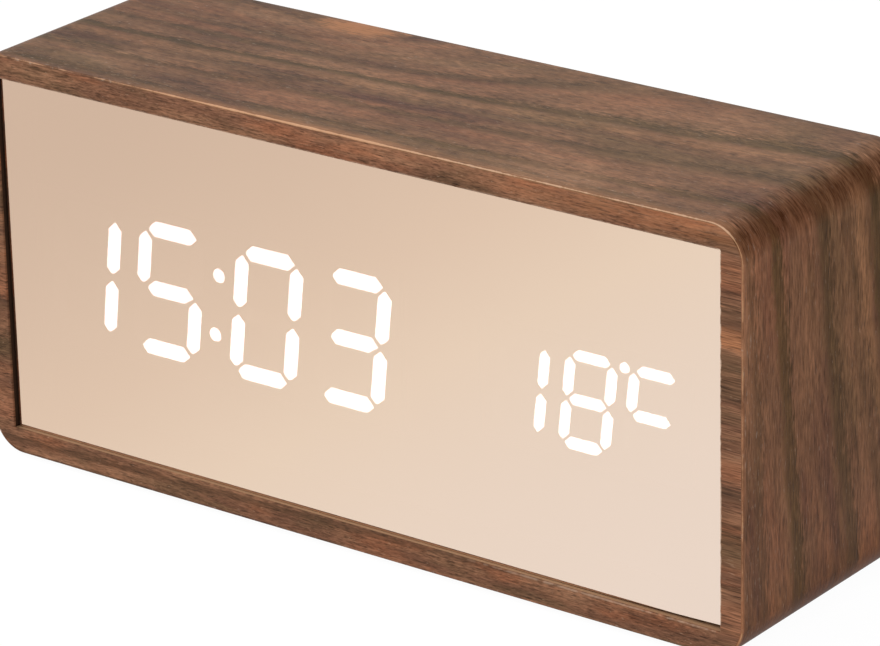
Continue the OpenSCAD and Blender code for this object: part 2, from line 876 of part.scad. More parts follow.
// The raised dimple that meets a cell's positive end
module contact_dimple(x, z) {
    axle(x, cell_y, z, dimple_r, dimple_h);
}

module contact_plates() {
    right = bay_right - plate_t;
    color(steel) {
        contact_plate(right, cell_places[0], cell_places[0]);
        contact_dimple(right - dimple_h / 2, cell_places[0]);
        terminal_tab(right, cell_places[0], 0);
        contact_plate(bay_left, cell_places[1], cell_places[0]);
        contact_dimple(bay_left + plate_t + dimple_h / 2, cell_places[1]);
        contact_plate(right, cell_places[2], cell_places[1]);
        contact_dimple(right - dimple_h / 2, cell_places[2]);
        contact_plate(bay_left, cell_places[2], cell_places[2]);
        terminal_tab(bay_left, cell_places[2], 0);
    }
}

// Points of a conical contact spring along X, one ring of the wire after another
spring_steps = spring_turns * spring_rings;
spring_run = spring_l - 2 * (spring_wire_r + loose);
function spring_middle(i) =
    let (r = spring_base_r + (spring_top_r - spring_base_r) * i / spring_steps, a = 360 * i / spring_rings)
    [spring_wire_r + loose + spring_run * i / spring_steps, r * cos(a), r * sin(a)];
function spring_ring(i) =
    let (a = 360 * i / spring_rings)
    [for (j = [0 : spring_sides - 1])
        let (b = 360 * j / spring_sides)
        spring_middle(i) + spring_wire_r * [sin(b), cos(b) * cos(a), cos(b) * sin(a)]];
spring_points = [for (i = [0 : spring_steps], p = spring_ring(i)) p];
spring_walls = [
    for (i = [0 : spring_steps - 1], j = [0 : spring_sides - 1])
        let (
            k = (j + 1) % spring_sides,
            a = i * spring_sides + j,
            b = i * spring_sides + k,
            c = a + spring_sides,
            d = b + spring_sides
        )
        each [[a, b, c], [b, d, c]]
];
spring_ends = [
    for (j = [1 : spring_sides - 2])
        each [[0, j + 1, j], [0, j, j + 1] + spring_steps * spring_sides * [1, 1, 1]]
];
spring_least_gap = min([
    for (i = [0 : spring_steps], j = [0 : spring_steps])
        if (j - i > spring_rings / 2) norm(spring_middle(i) - spring_middle(j)) - 2 * spring_wire_r
]);
echo(spring_least_gap = spring_least_gap);

module contact_spring(z) {
    translate([0, cell_y, mid_z + z]) polyhedron(spring_points, concat(spring_walls, spring_ends));
}

module contact_springs() {
    color(steel) {
        translate([bay_left + plate_t, 0, 0]) contact_spring(cell_places[0]);
        translate([bay_right - plate_t, 0, 0]) mirror([1, 0, 0]) contact_spring(cell_places[1]);
        translate([bay_left + plate_t, 0, 0]) contact_spring(cell_places[2]);
    }
}

// A cell along X: its positive end points to the right where way is 1, to the left where it is -1
module cell(way, z) {
    tip = way > 0 ? bay_right - plate_t - dimple_h : bay_left + plate_t + dimple_h;
    axle(tip - way * (nub_l + (cell_l - nub_l) / 2), cell_y, z, cell_r, cell_l - nub_l);
    axle(tip - way * nub_l / 2, cell_y, z, nub_r, nub_l);
}

module battery_cells() {
    color(black_plastic) {
        cell(1, cell_places[0]);
        cell(-1, cell_places[1]);
        cell(1, cell_places[2]);
    }
}

// A lead from a terminal tab, along the front of the bay, to the control board
module battery_lead(x, z) {
    lead([
        [x, tab_y, mid_z + z], [x, lead_y, mid_z + z],
        [pad_x, lead_y, mid_z + z], [pad_x, control_front, mid_z + z]
    ], lead_r);
}

module red_lead() {
    color("firebrick") battery_lead(bay_right - plate_t / 2, cell_places[0]);
}

module black_lead() {
    color(black_plastic) battery_lead(bay_left + plate_t / 2, cell_places[2]);
}

// A button cap with a flange that holds it behind the cover
module button_cap(x) {
    translate([x, 0, mid_z + button_z]) rotate([-90, 0, 0]) rotate_extrude() {
        translate([0, button_in]) square([button_flange_r, button_flange_t]);
        translate([0, button_in]) square([button_r, button_out - button_rim - button_in]);
        translate([0, button_in]) square([button_r - button_rim, button_out - button_in]);
        translate([button_r - button_rim, button_out - button_rim]) circle(button_rim);
    }
}

module button_mark(x, w, h) {
    block(x, button_z, w, h, button_out - mark_d, button_out + cut);
}

module plunger(x) {
    color(white_plastic) bar(x, button_z, plunger_r, button_in - plunger_l, button_in);
}

module set_button() {
    x = button_places[0];
    color(black_plastic) difference() {
        button_cap(x);
        bar(x, button_z, mark_w, button_out - mark_d, button_out + cut);
    }
}

module up_button() {
    x = button_places[1];
    color(black_plastic) difference() {
        button_cap(x);
        button_mark(x, mark_l, mark_w);
        button_mark(x, mark_w, mark_l);
    }
}

module down_button() {
    x = button_places[2];
    color(black_plastic) difference() {
        button_cap(x);
        button_mark(x, mark_l, mark_w);
    }
}

module set_plunger() { plunger(button_places[0]); }
module up_plunger() { plunger(button_places[1]); }
module down_plunger() { plunger(button_places[2]); }

// The door swings down to the back on two pins at its lower edge
module battery_door() {
    color(black_plastic) difference() {
        union() {
            block(bay_x, (door_h / 2 + hinge_z) / 2, door_w, door_h / 2 - hinge_z, door_in, door_out);
            axle(bay_x, hinge_y, hinge_z, door_t / 2, door_w);
            axle(bay_x, hinge_y, hinge_z, pin_r, door_w + 2 * pin_l);
            for (i = [0 : grip_count - 1])
                block(bay_x, door_h / 2 - grip_top - i * grip_pitch, grip_w, grip_h, door_in,
                    door_out + grip_proud);
        }
        slab(door_out - mark_d, door_out + cut) translate([bay_x, arrow_z])
            polygon([[-arrow_w / 2, arrow_h / 2], [0, -arrow_h / 2], [arrow_w / 2, arrow_h / 2]]);
    }
}

case_top();
case_bottom();
case_left();
case_right();
wrap_veneer();
front_veneer();
rear_veneer();
feet();
mirror_panel();
mirror_tape();
inner_frame();
time_reflector();
temp_reflector();
time_segments_lit();
time_segments_dark();
temp_segments_lit();
temp_segments_dark();
lamp_chips();
display_board();
display_screws();
driver_chip();
clock_chip();
clock_crystal();
capacitors();
display_plug();
ribbon_cable();
control_plug();
control_board();
control_screws();
push_switches();
usb_shell();
usb_tongue();
buzzer();
temp_sensor();
rear_cover();
rear_screws();
contact_plates();
contact_springs();
battery_cells();
red_lead();
black_lead();
set_button();
set_plunger();
up_button();
up_plunger();
down_button();
down_plunger();
battery_door();
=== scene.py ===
# Digital alarm clock: a walnut sleeve, a rose mirror in its front and white digits behind the mirror
import math

import bpy
import numpy as np
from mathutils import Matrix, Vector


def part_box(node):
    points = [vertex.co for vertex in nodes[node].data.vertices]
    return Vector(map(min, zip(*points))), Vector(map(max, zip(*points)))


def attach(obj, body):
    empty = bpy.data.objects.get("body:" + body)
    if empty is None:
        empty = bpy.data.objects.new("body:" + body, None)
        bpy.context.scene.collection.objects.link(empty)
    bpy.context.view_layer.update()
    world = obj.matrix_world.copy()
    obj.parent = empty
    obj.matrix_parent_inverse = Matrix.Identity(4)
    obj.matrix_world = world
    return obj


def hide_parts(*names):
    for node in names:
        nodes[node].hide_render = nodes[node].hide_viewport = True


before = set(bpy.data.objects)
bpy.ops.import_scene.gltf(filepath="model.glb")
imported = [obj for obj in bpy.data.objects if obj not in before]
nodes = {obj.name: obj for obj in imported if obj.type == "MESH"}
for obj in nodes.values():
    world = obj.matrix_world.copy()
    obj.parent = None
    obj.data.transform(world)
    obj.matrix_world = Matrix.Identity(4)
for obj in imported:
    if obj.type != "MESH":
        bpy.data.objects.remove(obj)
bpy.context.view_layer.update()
scene = bpy.context.scene
scene.view_settings.view_transform = "Standard"
mm = 0.001


# camera of the photograph, in metres and degrees
cameraSet = {
    "lens": 202.51, "sensor": 36.0, "clip": (0.01, 50.0),
    "place": (0.448858, -0.583397, 0.324645), "turn": (68.3262, 1.2255, 36.9741),
}


def makeCamera(look):
    data = bpy.data.cameras.new("clockCamera")
    data.lens, data.sensor_width, data.sensor_fit = look["lens"], look["sensor"], "HORIZONTAL"
    data.clip_start, data.clip_end = look["clip"]
    camera = bpy.data.objects.new("clockCamera", data)
    camera.location = look["place"]
    camera.rotation_euler = [math.radians(a) for a in look["turn"]]
    scene.collection.objects.link(camera)
    scene.camera = camera


makeCamera(cameraSet)
print("camera set")


# shader maths: a Wire is one output socket, and sums on wires add Math nodes
class Wire:
    def __init__(self, shade, socket):
        self.shade, self.socket = shade, socket

    def maths(self, operation, left, right):
        return self.shade.node("ShaderNodeMath", {"operation": operation}, {0: left, 1: right})

    def __add__(self, other):
        return self.maths("ADD", self, other)

    def __radd__(self, other):
        return self.maths("ADD", other, self)

    def __sub__(self, other):
        return self.maths("SUBTRACT", self, other)

    def __rsub__(self, other):
        return self.maths("SUBTRACT", other, self)

    def __mul__(self, other):
        return self.maths("MULTIPLY", self, other)

    def __rmul__(self, other):
        return self.maths("MULTIPLY", other, self)

    def __truediv__(self, other):
        return self.maths("DIVIDE", self, other)

    def __rtruediv__(self, other):
        return self.maths("DIVIDE", other, self)

    def __gt__(self, other):
        return self.maths("GREATER_THAN", self, other)

    def __lt__(self, other):
        return self.maths("LESS_THAN", self, other)


class Shade:
    def __init__(self, name, fixed=None, tree=None):
        self.material = None if tree else bpy.data.materials.new(name)
        if self.material:
            self.material.use_nodes = True
        self.tree = tree or self.material.node_tree
        self.surface = self.tree.nodes.get("Principled BSDF")
        self.feed(fixed or {})

    def join(self, socket, value):
        if isinstance(value, Wire):
            self.tree.links.new(value.socket, socket)
        else:
            socket.default_value = value

    def feed(self, inputs):
        for key, value in inputs.items():
            self.join(self.surface.inputs[key], value)

    # any node: its type, its settings, the values or links of its sockets, and the output to use
    def node(self, kind, settings=None, inputs=None, out=0):
        made = self.tree.nodes.new(kind)
        for key, value in (settings or {}).items():
            if key == "stops":
                stops = made.color_ramp.elements
                while len(stops) < len(value):
                    stops.new(0.5)
                for stop, (place, colour) in zip(stops, value):
                    stop.position, stop.color = place, colour
            else:
                setattr(made, key, value)
        for key, value in (inputs or {}).items():
            self.join(made.inputs[key], value)
        return Wire(self, made.outputs[out])

    def mix(self, share, first, second, blend="MIX"):
        return self.node("ShaderNodeMix", {"data_type": "RGBA", "blend_type": blend},
                         {0: share, 6: first, 7: second}, 2)

    def ramp(self, value, stops):
        return self.node("ShaderNodeValToRGB", {"stops": stops}, {0: value})

    def step(self, value, low, high):
        return self.node("ShaderNodeMapRange", {"interpolation_type": "SMOOTHSTEP"},
                         {"Value": value, "From Min": low, "From Max": high})

    # 1 along the middle of a stripe, and smoothly down to 0 at its sides
    def stripe(self, value, middle, half):
        off = (value - middle) / half
        return self.step(off * off, 1.0, 0.0)

    def noise(self, spot, scale, detail=2.0, rough=0.5):
        return self.node("ShaderNodeTexNoise", {}, {"Vector": spot, "Scale": scale, "Detail": detail,
                                                    "Roughness": rough})

    def spot(self, x, y, z):
        return self.node("ShaderNodeCombineXYZ", {}, {0: x, 1: y, 2: z})

    def parts(self, vector):
        split = self.node("ShaderNodeSeparateXYZ", {}, {0: vector}).socket.node
        return [Wire(self, split.outputs[i]) for i in range(3)]

    # the place on the piece, in metres, and its x, y and z
    def axes(self):
        place = self.node("ShaderNodeTexCoord", out=3)
        return place, self.parts(place)

    def attribute(self, name):
        return self.node("ShaderNodeAttribute", {"attribute_name": name}, out=2)

    def rays(self, *kinds):
        path = self.node("ShaderNodeLightPath").socket.node
        return [Wire(self, path.outputs[kind]) for kind in kinds]

    def bump(self, height, distance, strength=1.0, soft=0.0):
        inputs = {"Height": height, "Distance": distance, "Strength": strength}
        if soft:
            inputs["Normal"] = self.node("ShaderNodeBevel", {"samples": 4}, {"Radius": soft})
        self.feed({"Normal": self.node("ShaderNodeBump", {}, inputs)})


# a colour as seen on screen, such as "#80654f", as the linear colour that shaders take
def tone(text):
    seen = np.array([int(text[i:i + 2], 16) for i in (1, 3, 5)]) / 255
    linear = np.where(seen <= 0.04045, seen / 12.92, ((seen + 0.055) / 1.055) ** 2.4)
    return (*[float(c) for c in linear], 1.0)


def grey(value):
    return (value, value, value, 1.0)


def scaled(colour, factor):
    return (*[min(1, c * factor) for c in colour[:3]], 1.0)


# meshes: rings is an array of batch, ring, point and xyz. Neighbouring rings are joined by quads, an open run
# gets a face at each end, and if the enclosed volume comes out negative, all faces are turned round
def skinMesh(name, rings, closed=False, uv=None, extra=None, sharp=35):
    batch, count, around = rings.shape[:3]
    runs = count if closed else count - 1
    b, i, j = np.meshgrid(np.arange(batch), np.arange(runs), np.arange(around), indexing="ij")
    corners = np.stack([
        np.stack([b, i + di, j + dj], -1) for di, dj in ((0, 0), (0, 1), (1, 1), (1, 0))
    ], -2).reshape(-1, 4, 3)
    quads = (corners[..., 0] * count + corners[..., 1] % count) * around + corners[..., 2] % around
    points = rings.reshape(-1, 3)
    faces = quads.tolist()
    if not closed:
        first = np.arange(batch)[:, None] * count * around + np.arange(around)
        faces += first[:, ::-1].tolist() + (first + (count - 1) * around).tolist()
    spans = points[quads] - points[quads].mean((0, 1))
    volume = sum(np.einsum("ij,ij->i", spans[:, 0], np.cross(spans[:, k], spans[:, k + 1])).sum()
                 for k in (1, 2))
    turned = volume < 0
    if turned:
        faces = [face[::-1] for face in faces]
    mesh = bpy.data.meshes.new(name)
    mesh.from_pydata(points.tolist(), [], faces)
    if uv is not None:
        layer = mesh.uv_layers.new(name="grain")
        flat = uv[corners[..., 1], corners[..., 2]]
        layer.uv.foreach_set("vector", (flat[:, ::-1] if turned else flat).astype(np.float32).ravel())
    for key, values in (extra or {}).items():
        mesh.attributes.new(key, "FLOAT", "POINT").data.foreach_set(
            "value", np.broadcast_to(values, rings.shape[:3]).astype(np.float32).ravel())
    mesh.polygons.foreach_set("use_smooth", np.ones(len(faces), bool))
    mesh.set_sharp_from_angle(angle=math.radians(sharp))
    mesh.update()
    piece = bpy.data.objects.new(name, mesh)
    scene.collection.objects.link(piece)
    return piece


# puts a finished piece on its body, in place of CAD nodes
def seat(piece, shade, body, slot, *replaced):
    piece.data.materials.append(shade.material)
    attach(piece, body)
    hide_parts(*replaced)


# rounded rectangle in x and z from the middle of the bottom, going left and round: four straight sides
# and four quarter circles. Gives points, outward directions and the distance run along the outline
def roundedPath(width, height, radius, midZ, perSide, perCorner):
    halfW, halfH = width / 2 - radius, height / 2 - radius
    turn = np.concatenate([np.linspace(-90, -180, perCorner), np.linspace(180, 90, perCorner),
                           np.linspace(90, 0, perCorner), np.linspace(0, -90, perCorner)])
    centres = np.repeat([[-halfW, -halfH], [-halfW, halfH], [halfW, halfH], [halfW, -halfH]], perCorner, 0)
    away = np.stack([np.cos(np.radians(turn)), np.sin(np.radians(turn))], -1)
    corner = centres + radius * away
    bottom = np.array([0, -height / 2])
    points, facing = [], []
    for k in range(4):
        arc = slice(k * perCorner, (k + 1) * perCorner)
        start = bottom if k == 0 else corner[k * perCorner - 1]
        side = np.linspace(0, 1, perSide, endpoint=False)[1 if k else 0:, None]
        points += [start + side * (corner[arc][0] - start), corner[arc]]
        facing += [np.repeat(away[arc][:1], len(side), 0), away[arc]]
    side = np.linspace(0, 1, perSide, endpoint=False)[1:, None]
    points.append(corner[-1] + side * (bottom - corner[-1]))
    facing.append(np.repeat(away[-1:], len(side), 0))
    points, facing = np.concatenate(points), np.concatenate(facing)
    steps = np.linalg.norm(np.roll(points, -1, 0) - points, axis=1)
    run = np.concatenate([[0], np.cumsum(steps)])
    return points + [0, midZ], facing, run


# rings of points in x and z, each set at its depth
def atDepth(flat, depth):
    return np.stack([flat[..., 0], np.broadcast_to(depth, flat.shape[:-1]), flat[..., 1]], -1)


# points of a circle of radius 1
def circle(count):
    turn = np.linspace(0, 2 * np.pi, count, endpoint=False)
    return np.stack([np.cos(turn), np.sin(turn)], -1)


# angles along a quarter-circle edge
quarter = np.radians(np.linspace(0, 90, 5))


# shares that rise from 0 to 1 along an axis, between two places in millimetres
def makeZones(shade, axes, spans):
    return {name: shade.step(axes["xyz".index(axis)], first * mm, last * mm)
            for name, (axis, first, last) in spans.items()}


# a value, and what each zone adds to it
def summed(value, zones):
    total, added = value
    for name, weight in added.items():
        total = zones[name] * weight + total
    return total


# walnut: grain lines are level sets of the distance across, bent by slow noise. Tones and streaks are noises
# stretched along those lines, fibres and pores are finer ones along the board, and bands are dark or warm
# stripes at set distances. Noises have an offset to the seed, a detail and a roughness; limits are the
# values between which they come to show
walnutSet = {
    "noises": {"broad": (1.7, 4.0, 0.6), "hue": (5.3, 3.0, 0.55), "streak": (9.1, 4.0, 0.6),
               "fine": (13.7, 3.0, 0.65), "fibre": (21.9, 2.0, 0.6), "mottle": (27.3, 3.0, 0.6),
               "pore": (33.1, 1.0, 0.5), "speck": (41.3, 2.0, 0.5), "fade": (51.7, 2.0, 0.5)},
    "limits": {"warm": (0.5, 0.68), "cool": (0.48, 0.32), "dark": (0.54, 0.72), "fade": (0.1, 0.5),
               "pore": (0.6, 0.72), "speck": (0.66, 0.76)},
    "roughDepth": 0.25, "relief": 0.04 * mm, "poreRelief": 0.6,
}


def walnutFigure(shade, along, across, board, look, zones):
    seed = look["seed"]
    slow = shade.spot(along * look["wanderRate"][0], across * look["wanderRate"][1], seed)
    lines = across + (shade.noise(slow, 1.0) - 0.5) * look["wander"]

    def stretched(side, key):
        offset, detail, rough = walnutSet["noises"][key]
        spot = shade.spot(along * look[key][0], side * look[key][1], seed + offset)
        return shade.noise(spot, 1.0, detail, rough)

    def shown(value, key):
        return shade.step(value, *walnutSet["limits"][key])

    fine, fibre, mottle = [stretched(board, key) for key in ("fine", "fibre", "mottle")]
    colour = shade.ramp(stretched(lines, "broad"), [(place, tone(c)) for place, c in look["tones"]])
    hue = stretched(lines, "hue")
    colour = shade.mix(shown(hue, "warm") * look["warm"], colour, tone(look["warmTone"]))
    colour = shade.mix(shown(hue, "cool") * look["cool"], colour, tone(look["coolTone"]))
    dark = shown(stretched(lines, "streak"), "dark")
    colour = shade.mix(dark * look["dark"], colour, tone(look["darkTone"]))
    fade = shown(stretched(lines, "fade"), "fade") * summed(look["bandGain"], zones)
    ragged = lines + (fine + hue + fibre - 1.5) * look["ragged"]
    for middle, half, share, seen in look["bands"]:
        band = shade.stripe(ragged, middle * mm, half * mm)
        colour = shade.mix(band * fade * share, colour, tone(seen))
    # painted light and shade from the zones, varied by the fine, fibre and mottle noises, multiplies the
    # colour
    shadeAndGrain = summed(look["lightAndShade"], zones) + (fine - 0.5) * summed(look["fineDepth"], zones) + \
        (fibre - 0.5) * summed(look["fibreDepth"], zones) + (mottle - 0.5) * look["mottleDepth"]
    level = shade.node("ShaderNodeCombineColor", {}, {0: shadeAndGrain, 1: shadeAndGrain, 2: shadeAndGrain})
    colour = shade.mix(1.0, colour, level, "MULTIPLY")
    pore = shown(stretched(board, "pore"), "pore")
    colour = shade.mix(pore * look["poreDepth"], colour, tone(look["poreTone"]))
    speck = shown(stretched(board, "speck"), "speck")
    colour = shade.mix(speck * look["speckDepth"], colour, tone(look["paleTone"]))
    return colour, fine, pore


def walnutFinish(shade, colour, fine, pore, look):
    rough = look["rough"] + (fine - 0.5) * walnutSet["roughDepth"]
    shade.feed({"Base Color": colour, "Roughness": rough})
    shade.bump(fine * look["fineRelief"] - pore * walnutSet["poreRelief"], walnutSet["relief"])


# sleeve veneer: the veneer's section, with small rounded edges, carried round the sleeve's outline. The map
# "grain" holds the distance round, shortened on the right side where the fibres are long, and the grain line
# at each point: the depth less a drift, over a spread, both of which change round the sleeve, so that the
# lines fan out over the top and down the right side. Distances round, lengths and drifts are in millimetres,
# a spread is the depth that the lines' unit takes up, and a fan widens the lines beyond a set one
wrapLook = {
    "thick": 0.4 * mm, "edge": 0.14 * mm, "corner": 6 * mm, "stations": 26, "smooth": 10, "rimEnd": 0.3,
    "round": (0, 70, 145, 183, 196, 214, 230, 247, 284, 293, 311, 323, 338, 351, 361, 430),
    "drift": (-2, -8, -12, -10.8, -10, -9.2, -8.2, -7, -2.9, -1, 1, 2.5, 6, 9, 8, -2),
    "spread": (11, 9, 8.5, 9, 9.1, 9.3, 9.6, 10, 11, 12, 12, 13, 15, 16, 15, 11), "lineUnit": 10,
    "fan": (1, 1, 1, 0.72, 0.61, 1, 1.6, 2.2, 2.2, 2.2, 2.2, 2.2, 2.2, 2.2, 2, 1), "fanFrom": 12 * mm,
    "length": (0, 70, 145, 183, 196, 214, 230, 247, 284, 291, 303, 312, 322, 331, 341, 410),
    "seed": 3.1, "wander": 0.0025, "wanderRate": (22, 40), "ragged": 0.003,
    "broad": (34, 130), "streak": (45, 240), "hue": (30, 120), "fade": (30, 60), "fine": (300, 1700),
    "fibre": (700, 4600), "mottle": (520, 900), "pore": (360, 3800), "speck": (900, 3000),
    "tones": [(0.30, "#604337"), (0.44, "#765641"), (0.56, "#846048"), (0.72, "#957055")],
    "warmTone": "#946148", "warm": 0.4, "coolTone": "#68543b", "cool": 0.5,
    "darkTone": "#503e2a", "dark": 0.5, "poreTone": "#30251e", "poreDepth": 0.4,
    "paleTone": "#b5a292", "speckDepth": 0.3, "mottleDepth": 0.85,
    "bands": [(-16, 1.3, 0.35, "#574530"), (-10, 1.6, 0.7, "#534229"), (0, 1.6, 0.65, "#54432e"),
              (6, 1.2, 0.3, "#574531"), (8.8, 1.5, 0.3, "#a07654"), (12, 1.6, 0.85, "#50412a"),
              (16, 2.2, 0.2, "#997156"), (20, 2.0, 0.7, "#554430"), (26, 1.6, 0.35, "#574631")],
    "gloss": 0.07, "rough": 0.5, "fineRelief": 0.6,
    # where looks change: the axis, and the millimetres between which a share rises from 0 to 1
    "zones": {"side": ("x", 73, 75), "upper": ("z", 25, 50), "calm": ("x", -20, -60),
              "late": ("z", 70.9, 69.5), "foldFrom": ("z", 66.3, 67.5), "foldTo": ("z", 70.4, 68.8),
              "middle": ("x", -65, 0), "right": ("x", 0, 60), "rightEnd": ("x", 52, 70),
              "sideward": ("x", 69, 73), "foot": ("z", 15, 2), "rear": ("y", -10, 10),
              "front": ("y", -15, -21), "brink": ("y", -20, -22.2), "top": ("z", 68.5, 70.5),
              "edgeRight": ("x", 0, 30), "rubbed": ("x", -50, -18), "warmed": ("x", -56, -22),
              "fringe": ("x", 73, 74.5), "fringeUp": ("z", 8, 22), "sill": ("z", 2, 6)},
    # values, each with what the zones add to it
    "bandGain": (0.85, {"side": 0.42}),
    # painted light and shade: lighter from the left end to the right, darker near the right end, late on the
    # upper bends and most in their folds; the right side lighter, most near its top
    "lightAndShade": (0.82, {"middle": 0.16, "right": 0.06, "rightEnd": -0.1, "later": -0.22, "fold": -0.4,
                    "side": 0.12, "upper": 0.1}),
    "fineDepth": (1.45, {"side": 0.3, "bend": 0.9, "calm": -0.4}),
    "fibreDepth": (1.2, {"side": 0.6, "bend": 0.9, "calm": -0.35}),
    "redShadeShare": (0.0, {"later": 0.46, "side": 0.12}), "redShadeTone": "#70401f",
    "sideShadeTint": (0.95, 0.88, 0.83, 1.0),
    "lowShadeShare": (0.75, {"rear": 0.25}), "lowShadeTint": (0.84, 0.7, 0.52, 1.0),
    "warmShare": (0.5, {"edgeRight": -0.15}), "warmedTone": "#a4714d",
    "fringeShare": (0.55, {"fringeUp": -0.4}), "fringeTone": "#ac7351",
    # the worn front edge: partly real wear, partly a painted highlight
    "wearAndHighlightWidth": (-0.2, {"rubbed": 0.5, "topRight": 0.2, "bend": 0.3}),
    "wearAndHighlightShare": (0.72, {"rubbed": 0.22, "topRight": 0.1}),
    "wearAndHighlightTones": ("#d0a07c", "#d9b090", "#c0946e"),
    # marks: rates along and across the grain, seed, detail and roughness of their noises
    "marks": {"blot": (150, 420, 4.0, 3.0, 0.6), "scuff": (700, 2300, 7.0, 3.0, 0.6),
              "rub": (240, 900, 2.0, 6.0, 0.75)},
    "blotLimits": (0.36, 0.6), "scuffLimits": (0.6, 0.7), "scuffShare": 0.4,
    "fringeLimits": (-22.0 * mm, -22.4 * mm), "fringeRagged": 1.6 * mm,
    "wearAndHighlightLimits": (0.5, 0.9), "wearAndHighlightRagged": 2.2, "rimLeast": 0.05,
    "patchPlace": (-29 * mm, 20.5 * mm, 68 * mm), "patchHalf": (9 * mm, 4 * mm), "patchLimits": (1.2, 0.0),
    "patchRagged": 4, "patchShare": 0.75, "patchTone": "#b87d55",
}


def wrapWood(look):
    shade = Shade("walnutWrap", {"Specular IOR Level": look["gloss"]})
    along, across, _ = shade.parts(shade.node("ShaderNodeUVMap", {"uv_map": "grain"}))
    _, (x, y, z) = shade.axes()
    blot, scuff, rub = [shade.noise(shade.spot(along * ahead, y * beside, seed), 1.0, detail, rough)
                        for ahead, beside, seed, detail, rough in look["marks"].values()]
    # painted shade: the upper bends darken late, and most below their middle, in blotches along the grain
    zones = makeZones(shade, (x, y, z), look["zones"])
    bend = zones["bend"] = shade.attribute("bend")
    zones["later"] = bend * zones["late"]
    zones["fold"] = bend * zones["foldFrom"] * zones["foldTo"] * shade.step(blot, *look["blotLimits"])
    zones["upper"] = zones["side"] * zones["upper"]
    colour, fine, pore = walnutFigure(shade, along, across, y, look, zones)
    # painted shade: the late part of the upper bends, and the right side, tinted a darker red
    colour = shade.mix(summed(look["redShadeShare"], zones), colour, tone(look["redShadeTone"]))
    # painted shade: the right side tinted darker and more saturated than the top
    colour = shade.mix(zones["side"], colour, look["sideShadeTint"], "MULTIPLY")
    # painted shade: browner and darker towards the bottom of the right side, most at the back
    low = zones["sideward"] * zones["foot"] * summed(look["lowShadeShare"], zones)
    colour = shade.mix(low, colour, look["lowShadeTint"], "MULTIPLY")
    # a pale patch at the back of the top, and pale scuffs near the front edge
    (patchX, patchY, patchZ), (halfX, halfY) = look["patchPlace"], look["patchHalf"]
    offX, offY = (x - patchX) / halfX, (y - patchY) / halfY
    patch = shade.step(offX * offX + offY * offY + (fine - 0.5) * look["patchRagged"], *look["patchLimits"])
    colour = shade.mix(patch * (z > patchZ) * look["patchShare"], colour, tone(look["patchTone"]))
    scuffed = shade.step(scuff, *look["scuffLimits"]) * zones["front"]
    colour = shade.mix(scuffed * look["scuffShare"], colour, tone(look["paleTone"]))
    # worn front edge, partly real wear and partly a painted highlight on the rounded edge, lighter on the top
    # than
    # on the side: widest left of the middle of the top, where the warmer band beside it is painted highlight
    # too, and thin and broken elsewhere; none at the bottom
    onTop, right, rim = zones["top"], zones["edgeRight"], shade.attribute("rim")
    zones["rubbed"] = zones["rubbed"] * (1 - right) * onTop
    zones["topRight"] = right * onTop
    warmed = zones["warmed"] * onTop * summed(look["warmShare"], zones) * zones["brink"]
    colour = shade.mix(warmed, colour, tone(look["warmedTone"]))
    fringe = shade.step(y + (rub - 0.5) * look["fringeRagged"], *look["fringeLimits"]) * zones["fringe"]
    colour = shade.mix(fringe * summed(look["fringeShare"], zones), colour, tone(look["fringeTone"]))
    wearAndHighlight = shade.step(rim + (rub - 0.5) * look["wearAndHighlightRagged"] + summed(look["wearAndHighlightWidth"], zones),
                      *look["wearAndHighlightLimits"]) * (rim > look["rimLeast"]) * zones["sill"]
    left, middle, side = [tone(c) for c in look["wearAndHighlightTones"]]
    seen = shade.mix(onTop, side, shade.mix(right, left, middle))
    colour = shade.mix(wearAndHighlight * summed(look["wearAndHighlightShare"], zones), colour, seen)
    walnutFinish(shade, colour, fine, pore, look)
    return shade


def makeWrap(look):
    low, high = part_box("wrap_veneer")
    edge, thick, front, rear = look["edge"], look["thick"], low.y, high.y
    path, facing, run = roundedPath(high.x - low.x, high.z - low.z, look["corner"], (low.z + high.z) / 2,
                                    perSide=60, perCorner=24)
    plain = np.append(front + 2 * edge, np.linspace(front, rear, look["stations"])[1:-1])
    depth = np.concatenate([front + edge * (1 - np.cos(quarter)), plain,
                            rear - edge * (1 - np.sin(quarter)), [rear, front]])
    sunk = np.concatenate([edge * (1 - np.sin(quarter)), np.zeros(len(plain)),
                           edge * (1 - np.cos(quarter)), [thick, thick]])
    rim = np.zeros(len(depth))
    rim[:len(quarter)] = np.linspace(1, look["rimEnd"], len(quarter))
    bend = np.minimum(np.abs(facing[:, 0] * facing[:, 1]) * 2, 1)
    rings = atDepth(path[:, None, :] - sunk[None, :, None] * facing[:, None, :], depth)
    places, smooth = np.array(look["round"]) * mm, look["smooth"]
    every = np.arange(0, look["round"][-1] + 1) * mm

    def roundSleeve(values):
        padded = np.pad(np.interp(every, places, values), smooth, mode="edge")
        soft = np.convolve(padded, np.ones(2 * smooth + 1) / (2 * smooth + 1), "valid")
        return np.interp(run, every, soft)[:, None]

    drift, spread, fan = [roundSleeve(look[key]) for key in ("drift", "spread", "fan")]
    line = (np.append(depth, depth[0])[None] - drift * mm) / spread * look["lineUnit"]
    fanFrom = look["fanFrom"]
    line = np.where(line > fanFrom, fanFrom + (line - fanFrom) / fan, line)
    along = np.interp(run, places, np.array(look["length"]) * mm)
    grain = np.stack(np.broadcast_arrays(along[:, None], line), -1)
    wrap = skinMesh("walnutWrap", rings[None], True, grain,
                    {"rim": rim[None, None], "bend": bend[None, :, None]})
    seat(wrap, wrapWood(look), "clock", "walnut_veneer", "wrap_veneer")


makeWrap(wrapLook)
print("sleeve veneer made")
